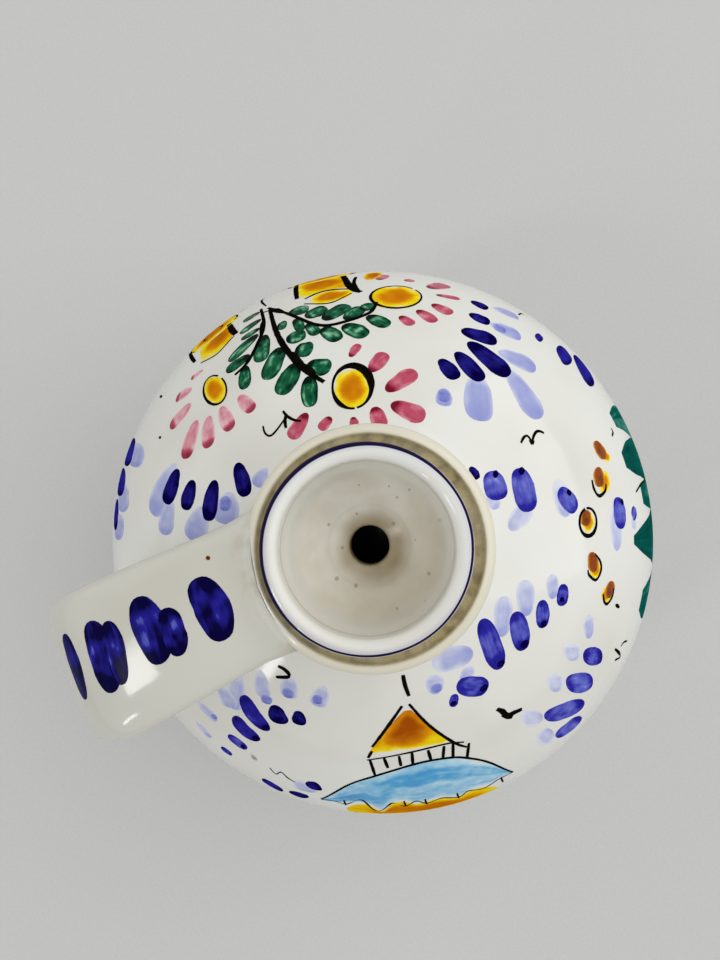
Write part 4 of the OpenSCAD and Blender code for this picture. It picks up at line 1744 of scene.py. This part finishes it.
    def pavilion(self) -> None:
        """Lays the small domed pavilion: roof, railing, blue dome and the yellow under it."""
        self.band(Pigment.SKY, (0.5, 0.34), (322, 799, 322, 800), (334, 793, 337, 802),
                  (346, 786, 352, 802), (360, 780, 368, 803), (375, 776, 382, 809), (386, 773, 392, 802),
                  (398, 769, 404, 800), (412, 765, 416, 802), (424, 762, 427, 800), (439, 760, 441, 796),
                  (456, 758, 459, 795), (466, 759, 468, 790), (480, 762, 481, 786), (491, 764, 491, 783),
                  (503, 768, 501, 777), (512, 772, 512, 773))
        self.band(Pigment.BLOSSOM, (0.3, 0.3), (347, 808, 347, 809), (354, 805, 352, 812),
                  (368, 805, 367, 815), (382, 811, 381, 816), (392, 804, 392, 816), (404, 802, 404, 816),
                  (416, 804, 417, 815), (427, 802, 428, 814), (441, 798, 443, 811), (459, 797, 461, 806),
                  (468, 792, 471, 802), (481, 788, 484, 797), (492, 787, 494, 793), (498, 787, 499, 788))
        self.band(Pigment.BLOSSOM, (0.7, 0.04), (404, 711, 411, 710), (396, 719, 418, 716),
                  (387, 730, 427, 724), (378, 741, 437, 732), (370, 751, 446, 740), (368, 754, 449, 742))
        self.ink(
            (0.9, 1.1, (403, 675), (405, 685), (409, 696)),
            (0.9, 0.9, (402, 706), (388, 726), (372, 747)),
            (0.9, 0.9, (409, 704), (430, 726), (455, 743), (467, 747)),
            (0.8, 0.6, (367, 760), (407, 753), (445, 744), (464, 742)),
            (0.9, 0.9, (321, 799), (346, 786), (375, 776), (415, 764), (447, 758), (468, 758), (491, 763),
             (513, 772)),
            (0.8, 0.9, (321, 799), (335, 801), (346, 804), (362, 800), (378, 811), (392, 803), (405, 806),
             (416, 801), (427, 803), (442, 798), (459, 797), (468, 791), (484, 788), (499, 779),
             (513, 772)),
        )
        posts = ((370, 760, 375, 775), (384, 758, 388, 768), (399, 756, 401, 766), (412, 753, 413, 765),
                 (428, 750, 431, 760), (444, 746, 443, 758), (453, 742, 453, 758), (469, 743, 467, 758),
                 (372, 751, 368, 758))
        for x0, y0, x1, y1 in posts:
            self.ink((0.9, 0.9, (x0, y0), ((x0 + x1) / 2, (y0 + y1) / 2), (x1, y1)))
        for x, y in ((345, 800), (405, 801), (426, 799), (458, 793), (502, 777)):
            self.ink((0.8, 0.6, (x - 1, y), (x, y + 3), (x + 1, y + 5)))
        eaves = ((356, 812), (380, 815), (405, 816), (430, 813), (455, 807), (478, 799))
        feet = [self.view.on_globe(eave) for eave in eaves]
        arch = Manner(Pigment.BLOSSOM, 0.24, layer=1)
        for left, right in zip(feet, feet[1:]):
            middle = (left + right) / 2
            self.touch(self.lower(middle, -2.0), self.lower(middle, 15.0), 8.4, arch)
        for foot in feet:
            self.stem(1.0, self.lower(foot, 0.0), self.lower(foot, 8.0), self.lower(foot, 16.0))
        self.stem(1.2, *(self.lower(foot, 16.0) for foot in feet))
        self.grass(*(self.lower(foot, 18.0) for foot in feet))

    def fan(self, heart: Vector) -> None:
        """Lays a fan of blue dabs, each with a pale wash beyond it, below a point of the globe.

        Args:
            heart: The point.
        """
        plain = Manner(Pigment.COBALT, 0.5, 0.05)
        reaches = (7.0, 13.0, 16.0, 25.0)
        for k in (-2, -1, 0, 1, 2):
            angle = radians(26.0 * k)
            places = [self.lower(heart, r * cos(angle), r * sin(angle)) for r in reaches]
            self.touch(places[1], places[3], 6.2, self.wash)
            self.touch(places[0], places[2], 5.0, plain)

    def sprig(self, heart: Vector) -> None:
        """Lays a blossom on a stem with paired leaves, centred on a point of the globe.

        Args:
            heart: The point.
        """
        for k in range(4):
            self.leaf_pair(heart, 7.0 * k - 6.0, 9.0, 4.8)
        self.touch(self.lower(heart, -24), self.lower(heart, -15), 9.0, self.middle)
        self.stem(1.0, *(self.lower(heart, down, 0.8 * sin(down / 5)) for down in (-15, -7, 0, 7, 14, 20)))
        turns = [tau * i / RING_STEPS for i in range(RING_STEPS)]
        self.stem(1.0, *(self.lower(heart, 5.2 * cos(a) - 19.5, 5.2 * sin(a)) for a in turns))

    def belly(self) -> None:
        """Carries the ornament on round the hidden belly: blue fans, sprigs and two foot lines."""
        for turn in self.fan_turns:
            self.fan(self.jug.globe_point(turn, 88.0))
        for turn in self.sprig_turns:
            self.sprig(self.jug.globe_point(turn, 96.0))
        for polar, half in ((130.0, 0.9), (133.0, 0.45)):
            points = [self.jug.globe_point(180.2 + 359.6 * i / 72, polar) for i in range(73)]
            self.draw(self.lines[Pigment.COBALT], points, [half] * len(points), 0.5)

    def birds(self) -> None:
        """Lays the small birds in ink, each a few strokes for its wings."""
        self.ink(
            (0.9, 1.6, (497, 709), (502, 711), (507, 715), (513, 713), (522, 709)),
            (0.9, 2.0, (503, 714), (508, 716), (513, 716)),
            (0.9, 1.0, (615, 649), (619, 653), (620, 657), (615, 660)),
            (0.9, 0.7, (621, 646), (624, 642), (627, 641)),
            (0.9, 0.6, (270, 768), (276, 774), (281, 772), (288, 778), (295, 782)),
            (0.9, 0.8, (521, 443), (524, 437), (528, 436), (532, 443)),
            (0.9, 0.8, (532, 443), (534, 435), (538, 431), (544, 433)),
            (0.9, 1.3, (530, 440), (532, 444), (533, 440)),
            (0.9, 0.6, (518.5, 315), (521, 313.5), (523.5, 314.5)),
            (0.9, 1.1, (278, 666), (284, 669), (289, 674), (288, 677), (276, 677)),
            (0.9, 0.6, (263, 426), (265, 433), (270, 436), (276, 431), (284, 420)),
            (0.9, 0.8, (283, 411), (287, 416), (294, 420), (301, 421)),
            (0.9, 0.9, (286, 415), (285, 421), (286, 428)),
        )

    def flaws(self) -> None:
        """Lays the kiln specks and the one grey smudge on the globe."""
        self.group(Manner(Pigment.INK, 0.08), (252, 754, 256, 761, 1.9))
        self.group(Manner(Pigment.INK, 0.5), (160, 396, 162, 397, 1.1), (159, 437, 161, 438, 0.9))

    def strap_dabs(self, manner: Manner, *rows: Row) -> list[Stroke]:
        """Lays dabs on the strap.

        Args:
            manner: How they are laid.
            rows: The dabs as read off the photo.

        Returns:
            The dabs.
        """
        mesh = self.strap.data
        skin = BVHTree.FromPolygons([v.co for v in mesh.vertices], [p.vertices for p in mesh.polygons])
        eye = self.view.place()
        result = []
        for x0, y0, x1, y1, width in rows:
            pixels = ((x0, y0), (x1, y1), ((x0 + x1) / 2, (y0 + y1) / 2))
            hits = [skin.ray_cast(eye, self.view.ray(pixel)) for pixel in pixels]
            start, end, middle = (hit[0] for hit in hits)
            facing, heading = hits[2][1], (end - start) / 2
            sideways = facing.cross(heading).normalized() * (width / 2 * MM)
            result.append(manner.dab(middle, heading, sideways, facing))
        return result

    def film(self, former: FilmFormer, pigment: Pigment, strokes: Sequence[Stroke], name: str,
             surface: Piece, **values: float) -> Piece:
        """Forms the film of one pigment's strokes and fixes it to the jug.

        Args:
            former: The tree that forms it.
            pigment: The pigment.
            strokes: The dabs, the lines or the filled shapes.
            name: The film's name.
            surface: The piece that it lies on.
            values: The tree's own inputs, by name.

        Returns:
            The film.
        """
        stain = pigment.value
        for i, stroke in enumerate(strokes):
            count = len(stroke.points)
            lift = stain.lift + self.layer_step * stroke.layer + self.order_step * (i % LEVELS)
            stroke.values.update(lift=[lift * MM] * count, seed=[(i * SEED_STEP) % 1.0] * count)
        carried = {label: [v for s in strokes for v in s.values[label]] for label in strokes[0].values}
        rough = rough_mesh(name, [stroke.points for stroke in strokes], **carried)
        piece = former.form(name, rough, ("along", "across", "tone", "seed"), Surface=surface,
                            Depth=self.depth * MM, Material=stain.material(name, self.glaze), **values)
        return settle(piece, "white_glaze")

    def build(self) -> list[Piece]:
        """Lays every motif and forms the films.

        Returns:
            The films.
        """
        for motif in (self.blue_sprays, self.daisies, self.leaf_sprays, self.blossoms, self.acorns,
                      self.pines, self.pavilion, self.birds, self.belly, self.flaws):
            motif()
        dab_former, line_former = DabFormer(), LineFormer()
        dab_look = {"Reach": 6 * MM, "Ragged": 0.35}
        line_look = {"Reach": 9 * MM, "Ragged": 0.5, "Step": self.line_step * MM, "Sides": 8}
        field_look = {**line_look, "Ragged": 0.08, "Sides": 40}
        kinds = (
            ("dabs", self.dabs, dab_former, dab_look),
            ("strokes", self.lines, line_former, line_look),
            ("fields", self.fills, line_former, field_look),
        )
        films = [
            self.film(former, pigment, strokes, f"{pigment.name.lower()}_{kind}", self.vessel, **look)
            for kind, laid, former, look in kinds
            for pigment, strokes in laid.items()
        ]
        broad = self.strap_dabs(
            Manner(Pigment.BOLD, 0.74, bow=0.1),
            (196, 578, 225, 640, 7.1), (137, 597, 161, 664, 6.9), (165, 608, 180, 656, 4.8),
            (90, 621, 112, 693, 6.4), (107, 621, 122, 685, 4.8), (64, 634, 85, 700, 4.6),
        )
        films.append(self.film(dab_former, Pigment.BOLD, broad, "strap_dabs", self.strap, **dab_look))
        speck = self.strap_dabs(Manner(Pigment.BROWN, 1.0), (206, 557, 210, 559, 0.85))
        films.append(self.film(dab_former, Pigment.BROWN, speck, "strap_speck", self.strap, **dab_look))
        return films


@dataclass
class Studio:
    """The pale floor and the soft lamps."""

    view: PhotoView  # The photo's camera, whose picture directions place the lamps
    target: float = 0.12  # Height that the lamps aim at, in scene units
    horizon: float = 0.65  # Level of the surrounding light near the horizon
    zenith: float = 0.42  # Its level overhead
    side: float = 4.0  # Half the width of the floor in metres
    paper: tuple[Rgb, Rgb] = ((206, 206, 204), (202, 202, 200))  # The two colours of the floor's grain

    def floor(self) -> None:
        """Makes the plain pale floor."""
        mesh = bpy.data.meshes.new("floor")
        corners = [(-1, -1), (1, -1), (1, 1), (-1, 1)]
        mesh.from_pydata([(x * self.side, y * self.side, 0) for x, y in corners], [], [(0, 1, 2, 3)])
        floor = add_object("floor", mesh)
        s = Shader("floor_paper")
        colour = s.blend(s.smooth(s.noise(s.place, 900.0), 0.3, 0.7), *self.paper)
        mesh.materials.append(s.surface(Base_Color=colour, Roughness=0.75))

    def lamp(self, name: str, right: float, top: float, rise: float, gap: float, size: float,
             watts: float, tall: float = 1.0) -> None:
        """Hangs one soft lamp.

        Args:
            name: The lamp's name.
            right: Its direction towards the picture's right.
            top: Its direction towards the picture's top.
            rise: Its height angle in degrees.
            gap: Its distance in metres.
            size: The width of its panel in metres.
            watts: Its power.
            tall: The panel's height as a share of its width.
        """
        data = bpy.data.lights.new(name, "AREA")
        data.shape = "RECTANGLE"
        data.size = size
        data.size_y = size * tall
        data.energy = watts
        lamp = add_object(name, data)
        angle = radians(rise)
        away = self.view.level(right, top) * cos(angle) + Vector((0.0, 0.0, sin(angle)))
        lamp.location = Vector((0.0, 0.0, self.target)) + away * gap
        lamp.rotation_euler = away.to_track_quat("Z", "Y").to_euler()

    def build(self) -> None:
        """Sets the floor, the lamps and the surrounding light."""
        self.floor()
        self.lamp("key_right", 1.0, 0.4, 42.0, 2.6, 4.0, 56.0)
        self.lamp("fill_left", -0.8, 0.6, 30.0, 1.9, 1.6, 3.0)
        self.lamp("window_left", -0.86, -0.51, 45.0, 1.1, 0.15, 1.1, 2.2)
        self.lamp("window_low", -0.6, -0.72, 25.0, 1.1, 0.07, 0.43, 3.6)
        world = bpy.data.worlds.new("studio")
        world.use_nodes = True
        sky = Graph(world.node_tree)
        _, _, height = sky.split(sky.add("ShaderNodeTexCoord").outputs["Generated"])
        level = sky.fit(sky.smooth(height, 0.1, 0.95), self.zenith - self.horizon, self.horizon)
        glow = sky.tree.nodes["Background"].inputs
        sky.tree.links.new(level, glow["Strength"])
        glow["Color"].default_value = (1.0, 1.0, 1.0, 1.0)
        bpy.context.scene.world = world
        bpy.context.scene.view_settings.view_transform = "Standard"


def main() -> None:
    """Builds the jug's pieces in order and logs each with its count of faces, then builds its stage."""
    logging.basicConfig(level=logging.INFO, format="%(name)s %(message)s")
    jug = JugFrame.measured()
    view = PhotoView(jug)
    glaze = Glaze()
    turner = Turner()
    view.build()
    vessel = Vessel(jug, turner, glaze).build()
    mouth = MouthCup(
        jug, turner, glaze,
        shift=view.level(-1.0, -0.1) * (0.6 * MM),
        press_to=view.level(-0.7, 0.7),
        shaded_to=view.level(0.5, -0.65),
        stain_shift=view.level(0.7, -0.7) * (0.9 * MM),
    ).build()
    foot = FootRing(jug, turner, glaze).build()
    # The strap's glaze is a darker copy of the white glaze: painted shade for a strap that lies in shadow
    strap = StrapHandle(jug, StrapLofter(), Glaze((208, 207, 197), (198, 196, 183))).build()
    films = Brushwork(view, jug, glaze, vessel, strap).build()
    for piece in (vessel, mouth, foot, strap, *films):
        LOG.info("%s: %d faces", piece.name, len(piece.data.polygons))
    Studio(view).build()


if __name__ == "__main__":
    main()
